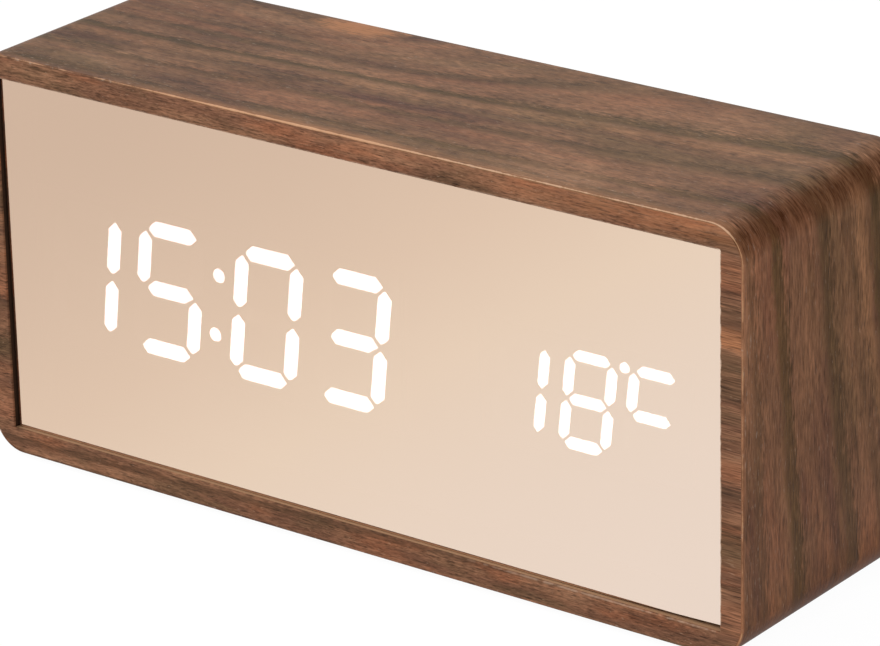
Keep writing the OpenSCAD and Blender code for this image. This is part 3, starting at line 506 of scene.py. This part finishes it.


# edge veneer: a ring from the sleeve's rounded outline to the square opening, front and back alike, with
# a rounded arris at the opening that carries a painted highlight. Each ring of points is a blend of the outer
# and the inner outline
frameLook = {
    "edge": 0.18 * mm, "corner": 5.6 * mm, "opening": (141.6 * mm, 61.6 * mm), "openingCorner": 0.1 * mm,
    "width": 3.8 * mm, "flat": (0.02, 0.9, 6), "rimFrom": 0.9, "rimRun": 0.04, "rimOff": 0.1 * mm,
    "seed": 8.4, "wander": 0.003, "wanderRate": (18, 40), "ragged": 0.003,
    "broad": (40, 260), "streak": (60, 480), "hue": (60, 260), "fade": (30, 60), "fine": (280, 2900),
    "fibre": (900, 6400), "mottle": (700, 1500), "pore": (700, 4600), "speck": (1200, 3600),
    "tones": [(0.30, "#593e2f"), (0.44, "#714e3b"), (0.56, "#805a43"), (0.72, "#936b51")],
    "warmTone": "#975c3e", "warm": 0.4, "coolTone": "#5c4834", "cool": 0.5,
    "darkTone": "#3c2b1d", "dark": 0.65, "poreTone": "#271a12", "poreDepth": 0.45,
    "paleTone": "#b5957a", "speckDepth": 0.4, "mottleDepth": 0.6,
    "bands": [(56.8, 2.4, 0.7, "#4d3a2c"), (53.2, 2.2, 0.85, "#a46c49"), (46, 3.5, 0.35, "#5f4b35"),
              (31.8, 2.6, 0.6, "#996448"), (28, 1.3, 0.6, "#4b382b"), (19.5, 3.5, 0.5, "#574530"),
              (8.5, 2.6, 0.6, "#976449")],
    "gloss": 0.06, "rough": 0.52, "fineRelief": 0.7,
    "zones": {"above": ("z", 66.4, 71), "inward": ("x", -60, -20), "under": ("z", 4, 1.4),
              "right": ("x", 70, 71), "warmRight": ("x", 10, 60), "warmUp": ("z", 66.8, 68.6),
              "arrisRight": ("x", 70, 70.6), "arrisFrom": ("z", 6, 8), "arrisTop": ("z", 66.4, 66.8),
              "arrisBelow": ("x", 15, 40)},
    "bandGain": (1.0, {}), "fineDepth": (2.0, {}), "fibreDepth": (1.9, {}),
    # painted shade: lighter towards the outer edge, above and below, darker towards the opening
    "lightAndShade": (1.0, {"above": 0.22, "aboveMiddle": 0.16, "under": 0.2, "right": 0.1}),
    "longFrom": 70.5 * mm, "longer": 0.65,
    "climb": 0.02, "climbRagged": 1.2 * mm, "climbPlace": (4.7 * mm, 0.8 * mm), "climbShare": 0.45,
    "climbTone": "#4b3727", "stripTop": 6 * mm, "stripEnd": 70 * mm,
    "warmLimits": (0.3, 0.6), "warmShare": 0.4, "warmedTone": "#a86a44",
    "arrisHighlightNoise": (700.0, 3.0, 0.6), "arrisHighlightRim": 0.3, "wearAndHighlightLimits": (0.62, 0.85), "arrisHighlightTop": 0.35,
    "arrisHighlightBelow": 0.4, "wearAndHighlightShare": 0.8, "arrisHighlightTone": "#d2b49c",
}


def frameWood(look, name):
    shade = Shade(name, {"Specular IOR Level": look["gloss"]})
    place, (x, y, z) = shade.axes()
    zones = makeZones(shade, (x, y, z), look["zones"])
    zones["aboveMiddle"] = zones["inward"] * zones["above"]
    # the fibres on the right are long
    along = x - (x > look["longFrom"]) * (x - look["longFrom"]) * look["longer"]
    colour, fine, pore = walnutFigure(shade, along, z, z, look, zones)
    # a dark streak that climbs to the right along the bottom, and warmer wood at the top right
    strip = z < look["stripTop"]
    climb = shade.stripe(z - x * look["climb"] + (fine - 0.5) * look["climbRagged"], *look["climbPlace"])
    colour = shade.mix(climb * strip * look["climbShare"], colour, tone(look["climbTone"]))
    warmer = zones["warmRight"] * zones["warmUp"] * look["warmShare"] * shade.step(fine, *look["warmLimits"])
    colour = shade.mix(warmer, colour, tone(look["warmedTone"]))
    # painted highlight: a pale line on the arris at the opening, full at the right, less at the top and the
    # bottom
    rim = shade.attribute("rim")
    wearAndHighlight = shade.step(shade.noise(place, *look["arrisHighlightNoise"]) + rim * look["arrisHighlightRim"], *look["wearAndHighlightLimits"])
    below = zones["arrisBelow"] * (x < look["stripEnd"]) * strip
    where = zones["arrisRight"] * zones["arrisFrom"] + zones["arrisTop"] * look["arrisHighlightTop"] + \
        below * look["arrisHighlightBelow"]
    colour = shade.mix(wearAndHighlight * rim * where * look["wearAndHighlightShare"], colour, tone(look["arrisHighlightTone"]))
    walnutFinish(shade, colour, fine, pore, look)
    return shade


def makeEdgeFrame(look, name, node, outward):
    low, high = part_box(node)
    midZ, edge, width = (low.z + high.z) / 2, look["edge"], look["width"]
    outer, _, _ = roundedPath(high.x - low.x, high.z - low.z, look["corner"], midZ, perSide=40, perCorner=12)
    inner, _, _ = roundedPath(*look["opening"], look["openingCorner"], midZ, perSide=40, perCorner=12)
    face, back = (low.y, high.y) if outward < 0 else (high.y, low.y)
    plain = np.linspace(*look["flat"])
    reach = np.concatenate([[0, 0], plain, 1 - edge / width * (1 - np.sin(quarter)), [1]])
    depth = np.concatenate([[back, face], np.full(len(plain), face),
                            face - outward * edge * (1 - np.cos(quarter)), [back]])
    rim = np.clip((reach - look["rimFrom"]) / look["rimRun"], 0, 1) * (np.abs(depth - back) > look["rimOff"])
    rings = atDepth(outer[:, None] + reach[None, :, None] * (inner - outer)[:, None], depth)
    piece = skinMesh(name, rings[None], True, None, {"rim": rim[None, None]})
    seat(piece, frameWood(look, name), "clock", "walnut_veneer", node)


makeEdgeFrame(frameLook, "frontFrame", "front_veneer", -1)
makeEdgeFrame({**frameLook, "seed": 15.2}, "rearFrame", "rear_veneer", 1)
print("edge veneers made")


# mirror: a square pane with small corners and a polished bevel, as four rings from back to front. The
# film is on its front half; its lower edge sits on the sleeve at the left and rises towards the right end
mirrorLook = {
    "corner": 0.25 * mm, "bevel": 0.06 * mm, "tint": (0.918, 0.752, 0.638, 1.0), "deeper": 0.975,
    "film": 0.88, "filmRear": -20.9 * mm, "hazeScale": 26.0,
    "rough": 0.03, "smear": 0.03, "smearScale": 140.0,
    "drop": 0.2 * mm, "lift": 0.6 * mm, "liftFrom": 30 * mm, "liftRun": 40 * mm, "liftBelow": 10 * mm,
}


def mirrorGlass(look):
    shade = Shade("roseMirror", {"Metallic": 1.0})
    place, (_, y, _) = shade.axes()
    haze = shade.noise(place, look["hazeScale"], 3.0)
    smear = shade.noise(place, look["smearScale"])
    shade.feed({"Base Color": shade.mix(haze, scaled(look["tint"], look["deeper"]), look["tint"]),
                "Roughness": look["rough"] + (smear - 0.5) * look["smear"],
                "Alpha": (y < look["filmRear"]) * look["film"]})
    return shade


def makeMirror(look):
    low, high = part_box("mirror_panel")
    bevel = look["bevel"]
    path, facing, _ = roundedPath(high.x - low.x, high.z - low.z, look["corner"], (low.z + high.z) / 2,
                                  perSide=24, perCorner=6)
    sunk = np.array([bevel, 0, 0, bevel])
    depth = np.array([high.y, high.y - bevel, low.y + bevel, low.y])
    flat = path[None] - sunk[:, None, None] * facing[None]
    rise = np.clip((flat[..., 0] - look["liftFrom"]) / look["liftRun"], 0, 1) ** 2
    flat[..., 1] += np.where(flat[..., 1] < look["liftBelow"], look["lift"] * rise - look["drop"], 0)
    mirror = skinMesh("roseMirror", atDepth(flat, depth[:, None])[None], sharp=20)
    seat(mirror, mirrorGlass(look), "clock", "rose_mirror", "mirror_panel")


makeMirror(mirrorLook)
print("mirror made")


# lit segments: a six-sided bar with pointed ends; each corner is an arc about a centre set in from both
# of its sides, and the front edge is rounded by the same arcs with a smaller radius
digitLook = {
    "front": -20.2 * mm, "back": -15.7 * mm, "edge": 0.15 * mm, "edgeStep": 0.3, "arcPoints": 5,
    "leastSine": 0.2, "lean": math.tan(math.radians(6.7)), "middle": 35.8 * mm,
    "time": {"width": 11.05 * mm, "half": 10.35 * mm, "thick": 2.58 * mm, "round": 0.62 * mm,
             "gap": 0.46 * mm, "middleGap": 0.95 * mm,
             "shown": {-55.04: "bc", -37.54: "acdfg", -17.54: "abcdef", -0.04: "abcdg"},
             "dots": [(-27.54, 5.175), (-27.54, -5.175)], "dot": 1.2 * mm},
    "temp": {"width": 7.8 * mm, "half": 7.42 * mm, "thick": 1.88 * mm, "round": 0.5 * mm,
             "gap": 0.22 * mm, "middleGap": 0.34 * mm,
             "shown": {32.57: "bc", 45.07: "abcdefg", 56.87: "afg"},
             "dots": [(51.07, 7.3)], "dot": 0.87 * mm},
    "glow": 5.6, "glowTones": ((0.94, 0.93, 0.91, 1.0), (1.0, 0.99, 0.975, 1.0)), "resin": (0.82, 0.94),
    "rough": 0.35, "cloudScale": 420.0,
}
segmentPlaces = {"a": (0, 1), "b": (0.5, 0.5), "c": (0.5, -0.5), "d": (0, -1), "e": (-0.5, -0.5),
                 "f": (-0.5, 0.5), "g": (0, 0)}


def glowResin(look, name):
    shade = Shade(name, {"Roughness": look["rough"], "Emission Strength": look["glow"]})
    place, _ = shade.axes()
    cloud = shade.noise(place, look["cloudScale"])
    shade.feed({"Emission Color": shade.mix(cloud, *look["glowTones"]),
                "Base Color": shade.mix(cloud, *[grey(value) for value in look["resin"]])})
    return shade


def unit(vectors):
    return vectors / np.linalg.norm(vectors, axis=-1, keepdims=True)


def makeDigits(look, part, name, node):
    spec, lean, edge, arc = look[part], look["lean"], look["edge"], look["arcPoints"]
    lit = [(x * mm, segment) for x, row in spec["shown"].items() for segment in row]
    at = np.array([x for x, _ in lit])
    place = np.array([segmentPlaces[segment] for _, segment in lit]) * [spec["width"], spec["half"]]
    level = np.array([segment in "adg" for _, segment in lit])
    gap = np.where([segment == "g" for _, segment in lit], spec["middleGap"], spec["gap"])
    tip = np.where(level, spec["width"], spec["half"]) / 2 - gap
    half = np.full(len(lit), spec["thick"] / 2)
    zero = np.zeros(len(lit))
    bar = np.stack([np.stack([-tip, half - tip, tip - half, tip, tip - half, half - tip], 1),
                    np.stack([zero, -half, -half, zero, half, half], 1)], -1)
    before, after = unit(bar - np.roll(bar, 1, 1)), unit(np.roll(bar, -1, 1) - bar)
    sine = np.sqrt((1 + (before * after).sum(-1, keepdims=True)) / 2)
    centres = bar + unit(after - before) * spec["round"] / np.maximum(sine, look["leastSine"])
    start = np.arctan2(-before[..., 0], before[..., 1])
    swing = (np.arctan2(-after[..., 0], after[..., 1]) - start + np.pi) % (2 * np.pi) - np.pi
    angle = start[..., None] + swing[..., None] * np.linspace(0, 1, arc)
    away = np.stack([np.cos(angle), np.sin(angle)], -1).reshape(len(lit), -1, 2)
    inset = edge * np.array([0, 0, look["edgeStep"], 1])[:, None, None]
    flat = np.repeat(centres, arc, 1)[:, None] + (spec["round"] - inset) * away[:, None]
    flat = np.where(level[:, None, None, None], flat, np.stack([-flat[..., 1], flat[..., 0]], -1))
    flat = flat + place[:, None, None]
    flat[..., 0] += lean * flat[..., 1] + at[:, None, None]
    # round dots: the same four rings on circles
    spots = np.array(spec["dots"]) * mm
    spots[:, 0] += lean * spots[:, 1]
    dots = spots[:, None, None] + (spec["dot"] - inset) * circle(away.shape[1])
    flat = np.concatenate([flat, dots]) + [0, look["middle"]]
    front = look["front"]
    depth = np.array([look["back"], front + edge, front + edge * look["edgeStep"], front])
    seat(skinMesh(name, atDepth(flat, depth[:, None])), glowResin(look, name), "clock", "lit_resin", node)


makeDigits(digitLook, "time", "timeGlow", "time_segments_lit")
makeDigits(digitLook, "temp", "tempGlow", "temp_segments_lit")
print("lit digits made")


def dress(shade, *names):
    for name in names:
        for slot in nodes[name].material_slots:
            slot.material = shade.material


# moulded plastic, rubber and vinyl: fine sparks or pebbles in the surface, and edges that look eased
mouldedSet = {"cloudScale": 45.0, "cloudShare": 0.6, "tones": (0.88, 1.12), "cloudRough": 0.12,
              "pitRough": 0.1, "bump": 0.6}


def mouldedShade(name, colour, rough, spark=2600.0, depth=0.03 * mm, soft=0.0, gloss=0.5):
    look = mouldedSet
    shade = Shade(name, {"Specular IOR Level": gloss})
    place, _ = shade.axes()
    pits = shade.noise(place, spark, 2.0, 0.6)
    cloud = shade.noise(place, look["cloudScale"], 3.0)
    low, high = [scaled(tone(colour), factor) for factor in look["tones"]]
    share = cloud * look["cloudShare"] + pits * (1 - look["cloudShare"])
    shade.feed({"Base Color": shade.mix(share, low, high),
                "Roughness": rough + (cloud - 0.5) * look["cloudRough"] + (pits - 0.5) * look["pitRough"]})
    shade.bump(pits, depth, look["bump"], soft)
    return shade


# plated or bare metal: drawn lines along X and faint stains
metalSet = {"drawn": (300, 4000, 4000), "stainScale": 160.0, "stain": 0.78, "drawnRough": 0.2,
            "depth": 0.01 * mm, "bump": 0.5}


def metalShade(name, colour, rough, soft=0.0):
    look = metalSet
    shade = Shade(name, {"Metallic": 1.0})
    place, axes = shade.axes()
    drawn = shade.noise(shade.spot(*[axis * rate for axis, rate in zip(axes, look["drawn"])]), 1.0)
    stain = shade.noise(place, look["stainScale"], 3.0)
    shade.feed({"Base Color": shade.mix(stain, scaled(tone(colour), look["stain"]), tone(colour)),
                "Roughness": rough + (drawn - 0.5) * look["drawnRough"]})
    shade.bump(drawn, look["depth"], look["bump"], soft)
    return shade


# board: the bare walls of the recess round the mirror and the rear cover
boardSet = {"gloss": 0.2, "fibreScale": 1400.0, "cloudScale": 60.0, "fibreShare": 0.6, "rough": 0.75,
            "fibreRough": 0.2, "depth": 0.05 * mm, "bump": 0.7}


def boardShade(name, low, high):
    look = boardSet
    shade = Shade(name, {"Specular IOR Level": look["gloss"]})
    place, _ = shade.axes()
    fibre = shade.noise(place, look["fibreScale"], 3.0, 0.6)
    cloud = shade.noise(place, look["cloudScale"])
    share = fibre * look["fibreShare"] + cloud * (1 - look["fibreShare"])
    shade.feed({"Base Color": shade.mix(share, tone(low), tone(high)),
                "Roughness": look["rough"] + (fibre - 0.5) * look["fibreRough"]})
    shade.bump(fibre, look["depth"], look["bump"])
    return shade


# side walls: dark stain with painted shade; top: plain brown; bottom: pale, partly painted light from the
# mirror
dress(boardShade("stainAndShadeBoard", "#26150e", "#48301f"), "case_left", "case_right")
dress(boardShade("brownBoard", "#4a3224", "#73503a"), "case_top")
dress(boardShade("paleLitBoard", "#9a7456", "#b48e6c"), "case_bottom")


# reflector blocks: white at the bottom of the windows, black on the face behind the mirror and its edges
reflectorLook = {"gloss": 0.3, "pitScale": 1800.0, "white": (0.74, 0.86), "black": "#0b0b0b",
                 "blackRear": -16.5 * mm, "rough": 0.6, "pitRough": 0.2, "depth": 0.02 * mm, "bump": 0.5}


def reflectorShade(look):
    shade = Shade("reflectorPlastic", {"Specular IOR Level": look["gloss"]})
    place, (_, y, _) = shade.axes()
    pits = shade.noise(place, look["pitScale"])
    white = shade.mix(pits, *[grey(value) for value in look["white"]])
    shade.feed({"Base Color": shade.mix(y < look["blackRear"], white, tone(look["black"])),
                "Roughness": look["rough"] + (pits - 0.5) * look["pitRough"]})
    shade.bump(pits, look["depth"], look["bump"])
    return shade


dress(reflectorShade(reflectorLook), "time_reflector", "temp_reflector")


# button caps: satin plastic with the sunk marks filled white
buttonLook = {"gloss": 0.45, "pitScale": 3400.0, "plain": ("#1c1c1d", "#28282a"), "mark": "#d8d8d4",
              "sunk": (21.9 * mm, 22.02 * mm), "lower": (47.9 * mm, 48.0 * mm),
              "upper": (52.1 * mm, 52.0 * mm), "rough": 0.42, "pitRough": 0.15,
              "depth": 0.015 * mm, "bump": 0.5, "soft": 0.2 * mm}


def buttonShade(look):
    shade = Shade("buttonPlastic", {"Specular IOR Level": look["gloss"]})
    place, (_, y, z) = shade.axes()
    pits = shade.noise(place, look["pitScale"])
    first, last = look["sunk"]
    filled = (y > first) * (y < last) * shade.step(z, *look["lower"]) * shade.step(z, *look["upper"])
    plain = shade.mix(pits, *[tone(c) for c in look["plain"]])
    shade.feed({"Base Color": shade.mix(filled, plain, tone(look["mark"])),
                "Roughness": look["rough"] + (pits - 0.5) * look["pitRough"]})
    shade.bump(pits, look["depth"], look["bump"], look["soft"])
    return shade


dress(buttonShade(buttonLook), "set_button", "up_button", "down_button")


# circuit board: green mask, paler over the fields of copper than in the gaps between them
circuitLook = {"gloss": 0.5, "cellScale": 260.0, "weaveScale": 2200.0, "gap": (0.05, 0.09),
               "mask": ("#12502f", "#1d6b40"), "rough": 0.35, "weaveRough": 0.2,
               "copperRelief": 0.6, "weaveRelief": 0.2, "depth": 0.03 * mm, "bump": 0.6}


def circuitShade(look):
    shade = Shade("circuitBoard", {"Specular IOR Level": look["gloss"]})
    place, _ = shade.axes()
    cell = shade.node("ShaderNodeTexVoronoi", {"feature": "DISTANCE_TO_EDGE"},
                      {"Vector": place, "Scale": look["cellScale"]})
    weave = shade.noise(place, look["weaveScale"])
    copper = shade.step(cell, *look["gap"])
    shade.feed({"Base Color": shade.mix(copper, *[tone(c) for c in look["mask"]]),
                "Roughness": look["rough"] + (weave - 0.5) * look["weaveRough"]})
    shade.bump(copper * look["copperRelief"] + weave * look["weaveRelief"], look["depth"], look["bump"])
    return shade


dress(circuitShade(circuitLook), "display_board", "control_board")

# the other nodes' finishes: maker, colour, roughness, what else differs, and the nodes
finishes = {
    "coverPlastic": (mouldedShade, "#191919", 0.55, {"spark": 2400.0, "depth": 0.04 * mm, "soft": 0.3 * mm},
                     ("rear_cover", "battery_door")),
    "framePlastic": (mouldedShade, "#0b0b0b", 0.7, {"gloss": 0.1}, ("inner_frame",)),
    "foamTape": (mouldedShade, "#0b0b0b", 0.9, {"spark": 900.0, "depth": 0.1 * mm, "gloss": 0.1},
                 ("mirror_tape",)),
    "darkResin": (mouldedShade, "#3a3a38", 0.4, {}, ("time_segments_dark", "temp_segments_dark")),
    "lampChip": (mouldedShade, "#e6dca4", 0.35, {}, ("lamp_chips",)),
    "chipPlastic": (mouldedShade, "#1c1c1e", 0.5, {"spark": 3000.0, "depth": 0.02 * mm, "soft": 0.1 * mm},
                    ("driver_chip", "clock_chip", "push_switches", "usb_tongue", "buzzer")),
    "plugNylon": (mouldedShade, "#ddd8c8", 0.5, {}, ("display_plug", "control_plug")),
    "plungerPlastic": (mouldedShade, "#d2d2cc", 0.45, {}, ("set_plunger", "up_plunger", "down_plunger")),
    "ribbonVinyl": (mouldedShade, "#a4a4a4", 0.5, {}, ("ribbon_cable",)),
    "redVinyl": (mouldedShade, "#a01712", 0.45, {}, ("red_lead",)),
    "blackVinyl": (mouldedShade, "#121212", 0.45, {}, ("black_lead",)),
    "sensorEpoxy": (mouldedShade, "#1d1a1a", 0.25, {"spark": 500.0}, ("temp_sensor",)),
    "capacitorCan": (mouldedShade, "#2c2e3a", 0.35, {"spark": 800.0}, ("capacitors",)),
    "zincScrew": (metalShade, "#c8c8c2", 0.32, {}, ("display_screws", "control_screws")),
    "blackScrew": (metalShade, "#4a4a4c", 0.42, {"soft": 0.1 * mm}, ("rear_screws",)),
    "nickelCan": (metalShade, "#d2d0c6", 0.25, {}, ("clock_crystal",)),
    "socketSteel": (metalShade, "#cfd0d2", 0.28, {"soft": 0.1 * mm}, ("usb_shell",)),
    "contactSteel": (metalShade, "#d0d0cc", 0.3, {}, ("contact_plates",)),
}
for name, (maker, colour, rough, more, names) in finishes.items():
    dress(maker(name, colour, rough, **more), *names)
print("CAD nodes dressed")


# feet: a disc whose lower edge is rounded and whose face is slightly hollow, turned about a vertical axis
footLook = {"centres": [(-61, -13.5), (61, -13.5), (-61, 13.5), (61, 13.5)], "radius": 4.5 * mm,
            "height": 1.0 * mm, "edge": 0.35 * mm, "rimTop": 1.5, "hollow": (0.05 * mm, 0.12 * mm),
            "hollowAt": (0.75, 0.5), "around": 48,
            "colour": "#171717", "rough": 0.8, "spark": 1500.0, "depth": 0.06 * mm}


def makeFeet(look):
    edge, radius = look["edge"], look["radius"]
    size = np.concatenate([[radius, radius], radius - edge * (1 - np.cos(quarter)),
                           radius * np.array(look["hollowAt"])])
    height = np.concatenate([[look["height"], edge * look["rimTop"]], edge * (1 - np.sin(quarter)),
                             look["hollow"]])
    place = np.array(look["centres"])[:, None, None] * mm + size[:, None, None] * circle(look["around"])
    rings = np.concatenate([place, np.broadcast_to(height[:, None, None], place.shape[:3] + (1,))], -1)
    rubber = mouldedShade("footRubber", look["colour"], look["rough"], look["spark"], look["depth"])
    seat(skinMesh("rubberFeet", rings), rubber, "clock", "foot_rubber", "feet")


makeFeet(footLook)
print("feet made")


# cells: a profile turned about X, from the flat end over a rolled shoulder to the raised tip; span runs
# from 0 at the flat end to 1 at the tip. Each cell is given by its tip's x, its z and the way it points
cellLook = {
    "y": 13.95 * mm, "radius": 5.25 * mm, "length": 44.5 * mm, "nub": (1.9 * mm, 1.0 * mm),
    "roll": 0.6 * mm, "nubRoll": 0.25 * mm, "endRadius": 0.4, "endDepth": 0.05 * mm, "shoulder": 1.2 * mm,
    "collar": 0.15 * mm, "stations": 8, "around": 48,
    "cells": [(-7.3, 46.9, 1), (-55.5, 36.0, -1), (-7.3, 25.1, 1)],
    "jacket": ("#1f3f6b", "#24497a"), "band": "#c9ccd0", "metal": "#cfcfca",
    "bandFrom": (0.70, 0.702), "bandTo": (0.782, 0.78), "tipFrom": (0.962, 0.965), "endTo": (0.016, 0.014),
    "scuffScale": 240.0, "rough": 0.3, "scuffRough": 0.18, "depth": 0.02 * mm, "bump": 0.4,
}


def cellShade(look):
    shade = Shade("cellJacket")
    place, _ = shade.axes()
    span = shade.attribute("span")
    scuff = shade.noise(place, look["scuffScale"], 3.0)
    jacket = shade.mix(scuff, *[tone(c) for c in look["jacket"]])
    band = shade.step(span, *look["bandFrom"]) * shade.step(span, *look["bandTo"])
    jacket = shade.mix(band, jacket, tone(look["band"]))
    bare = shade.step(span, *look["tipFrom"]) + shade.step(span, *look["endTo"])
    shade.feed({"Base Color": shade.mix(bare, jacket, tone(look["metal"])), "Metallic": bare,
                "Roughness": look["rough"] + (scuff - 0.5) * look["scuffRough"]})
    shade.bump(scuff, look["depth"], look["bump"])
    return shade


def makeCells(look):
    r, length, (nubR, nubL) = look["radius"], look["length"], look["nub"]
    body, roll, small, stations = length - nubL, look["roll"], look["nubRoll"], look["stations"]
    end, shoulder, collar = look["endDepth"], look["shoulder"], body - look["collar"]
    far = np.concatenate([[0, end], roll * (1 - np.cos(quarter)) + end,
                          np.linspace(shoulder, body - shoulder, stations),
                          body - roll + roll * np.sin(quarter), [collar, collar],
                          body + nubL - small + small * np.sin(quarter)])
    size = np.concatenate([[look["endRadius"] * r, r - roll], r - roll + roll * np.sin(quarter),
                           np.full(stations, r), r - roll + roll * np.cos(quarter), [r - shoulder, nubR],
                           nubR - small + small * np.cos(quarter)])
    tips, heights, ways = np.array(look["cells"]).T[:, :, None, None]
    turned = size[:, None, None] * circle(look["around"])
    shape = (len(tips),) + turned.shape[:2]
    rings = np.stack([np.broadcast_to(tips * mm - ways * (length - far)[:, None], shape),
                      np.broadcast_to(look["y"] + turned[..., 0], shape),
                      heights * mm + ways * turned[..., 1]], -1)
    cells = skinMesh("batteryCells", rings, extra={"span": (far / length)[None, :, None]})
    seat(cells, cellShade(look), "clock", "cell_jacket", "battery_cells")


makeCells(cellLook)
print("cells made")


# contact springs: a round wire carried along a helix whose radius narrows from the plate to the cell. Each
# seat is the plate's x, the spring's z and the way it points
springLook = {
    "wire": 0.3 * mm, "base": 3.6 * mm, "top": 2.4 * mm, "turns": 3, "rise": 4.2 * mm, "slack": 0.1 * mm,
    "seats": [(-56.0, 46.9, 1), (-6.8, 36.0, -1), (-56.0, 25.1, 1)], "y": 13.95 * mm,
    "stations": 145, "around": 12, "colour": "#c6c6c2", "rough": 0.3,
}


def makeSprings(look):
    share = np.linspace(0, 1, look["stations"])
    wire, clear = look["wire"], look["wire"] + look["slack"]
    lift = clear + (look["rise"] - 2 * clear) * share
    turn = 2 * np.pi * look["turns"] * share
    out = look["base"] + (look["top"] - look["base"]) * share
    side = circle(look["around"])
    wide = out[:, None] + wire * side[:, 0]
    plain = np.stack([lift[:, None] + wire * side[:, 1],
                      wide * np.cos(turn)[:, None], wide * np.sin(turn)[:, None]], -1)
    seatX, seatZ, way = np.array(look["seats"]).T
    one = np.ones(len(way))
    rings = plain[None] * np.stack([way, one, one], -1)[:, None, None]
    rings = rings + np.stack([seatX * mm, one * look["y"], seatZ * mm], -1)[:, None, None]
    # a mirrored spring runs the other way round, so its rings are reversed to keep its faces outward
    rings[way < 0] = rings[way < 0][:, :, ::-1]
    steel = metalShade("springSteel", look["colour"], look["rough"])
    seat(skinMesh("contactSprings", rings), steel, "clock", "contact_steel", "contact_springs")


makeSprings(springLook)
print("springs made")


# stage: a wide pale floor and level soft light. The camera sees floor and sky white. In reflections the floor
# turns rose towards the left and grey behind the right end, and the sky dims towards the right
stageLook = {
    "floor": 4.0, "floorTone": 0.82, "white": 1.03, "cameraShare": 0.94,
    "roseFrom": (-0.19, 0.075),
    "rose": [(0.0, (0.77, 0.68, 0.60, 1)), (0.4, (0.9, 0.82, 0.73, 1)), (0.62, (0.975, 0.925, 0.84, 1)),
             (1.0, (1, 1, 1, 1))],
    "greyRight": (0.085, 0.12), "greyBehind": (-0.02, 0.02), "grey": 0.3,
    "fill": 0.8, "dim": 0.85, "dimFrom": (-0.5, 0.1),
    "key": 10.0, "keyPlace": (-0.95, -0.7, 1.05), "keyAim": (0, 0, 0.04), "keySize": 0.9,
}


def makeFloor(look):
    half = look["floor"]
    mesh = bpy.data.meshes.new("floor")
    corners = [(-half, -half, 0), (half, -half, 0), (half, half, 0), (-half, half, 0)]
    mesh.from_pydata(corners, [], [(0, 1, 2, 3)])
    floor = bpy.data.objects.new("floor", mesh)
    scene.collection.objects.link(floor)
    shade = Shade("paleFloor")
    camera, glossy, through = shade.rays("Is Camera Ray", "Is Glossy Ray", "Is Transmission Ray")
    _, (x, y, _) = shade.axes()
    mirrored = shade.ramp(shade.step(x, *look["roseFrom"]), look["rose"])
    beside = shade.step(x, *look["greyRight"]) * shade.step(y, *look["greyBehind"])
    mirrored = shade.mix(beside, mirrored, grey(look["grey"]))
    seen = shade.mix(camera, mirrored, grey(1.0))
    white = shade.node("ShaderNodeEmission", {}, {"Color": seen, "Strength": look["white"]})
    plain = shade.node("ShaderNodeBsdfDiffuse", {}, {"Color": grey(look["floorTone"])})
    share = camera * look["cameraShare"] + glossy + through
    mixed = shade.node("ShaderNodeMixShader", {}, {0: share, 1: plain, 2: white})
    shade.join(shade.tree.nodes["Material Output"].inputs["Surface"], mixed)
    mesh.materials.append(shade.material)


def makeLight(look):
    world = bpy.data.worlds.new("softWhite")
    scene.world = world
    world.use_nodes = True
    sky = Shade("softWhite", tree=world.node_tree)
    camera, glossy, through, diffuse = sky.rays("Is Camera Ray", "Is Glossy Ray", "Is Transmission Ray",
                                                "Is Diffuse Ray")
    toward, _, _ = sky.parts(sky.node("ShaderNodeTexCoord", out=0))
    dim = 1 - look["dim"] * sky.step(toward, *look["dimFrom"])
    bright = camera + glossy * dim + through
    back = world.node_tree.nodes["Background"]
    back.inputs["Color"].default_value = grey(1.0)
    sky.join(back.inputs["Strength"], look["fill"] + (bright - look["fill"]) * (1 - diffuse))
    light = bpy.data.lights.new("softBox", "AREA")
    light.energy, light.size = look["key"], look["keySize"]
    key = bpy.data.objects.new("softBox", light)
    key.location = look["keyPlace"]
    away = np.array(look["keyPlace"]) - look["keyAim"]
    key.rotation_euler = (math.acos(away[2] / np.linalg.norm(away)), 0, math.atan2(away[0], -away[1]))
    scene.collection.objects.link(key)


makeFloor(stageLook)
makeLight(stageLook)
print("stage lit")
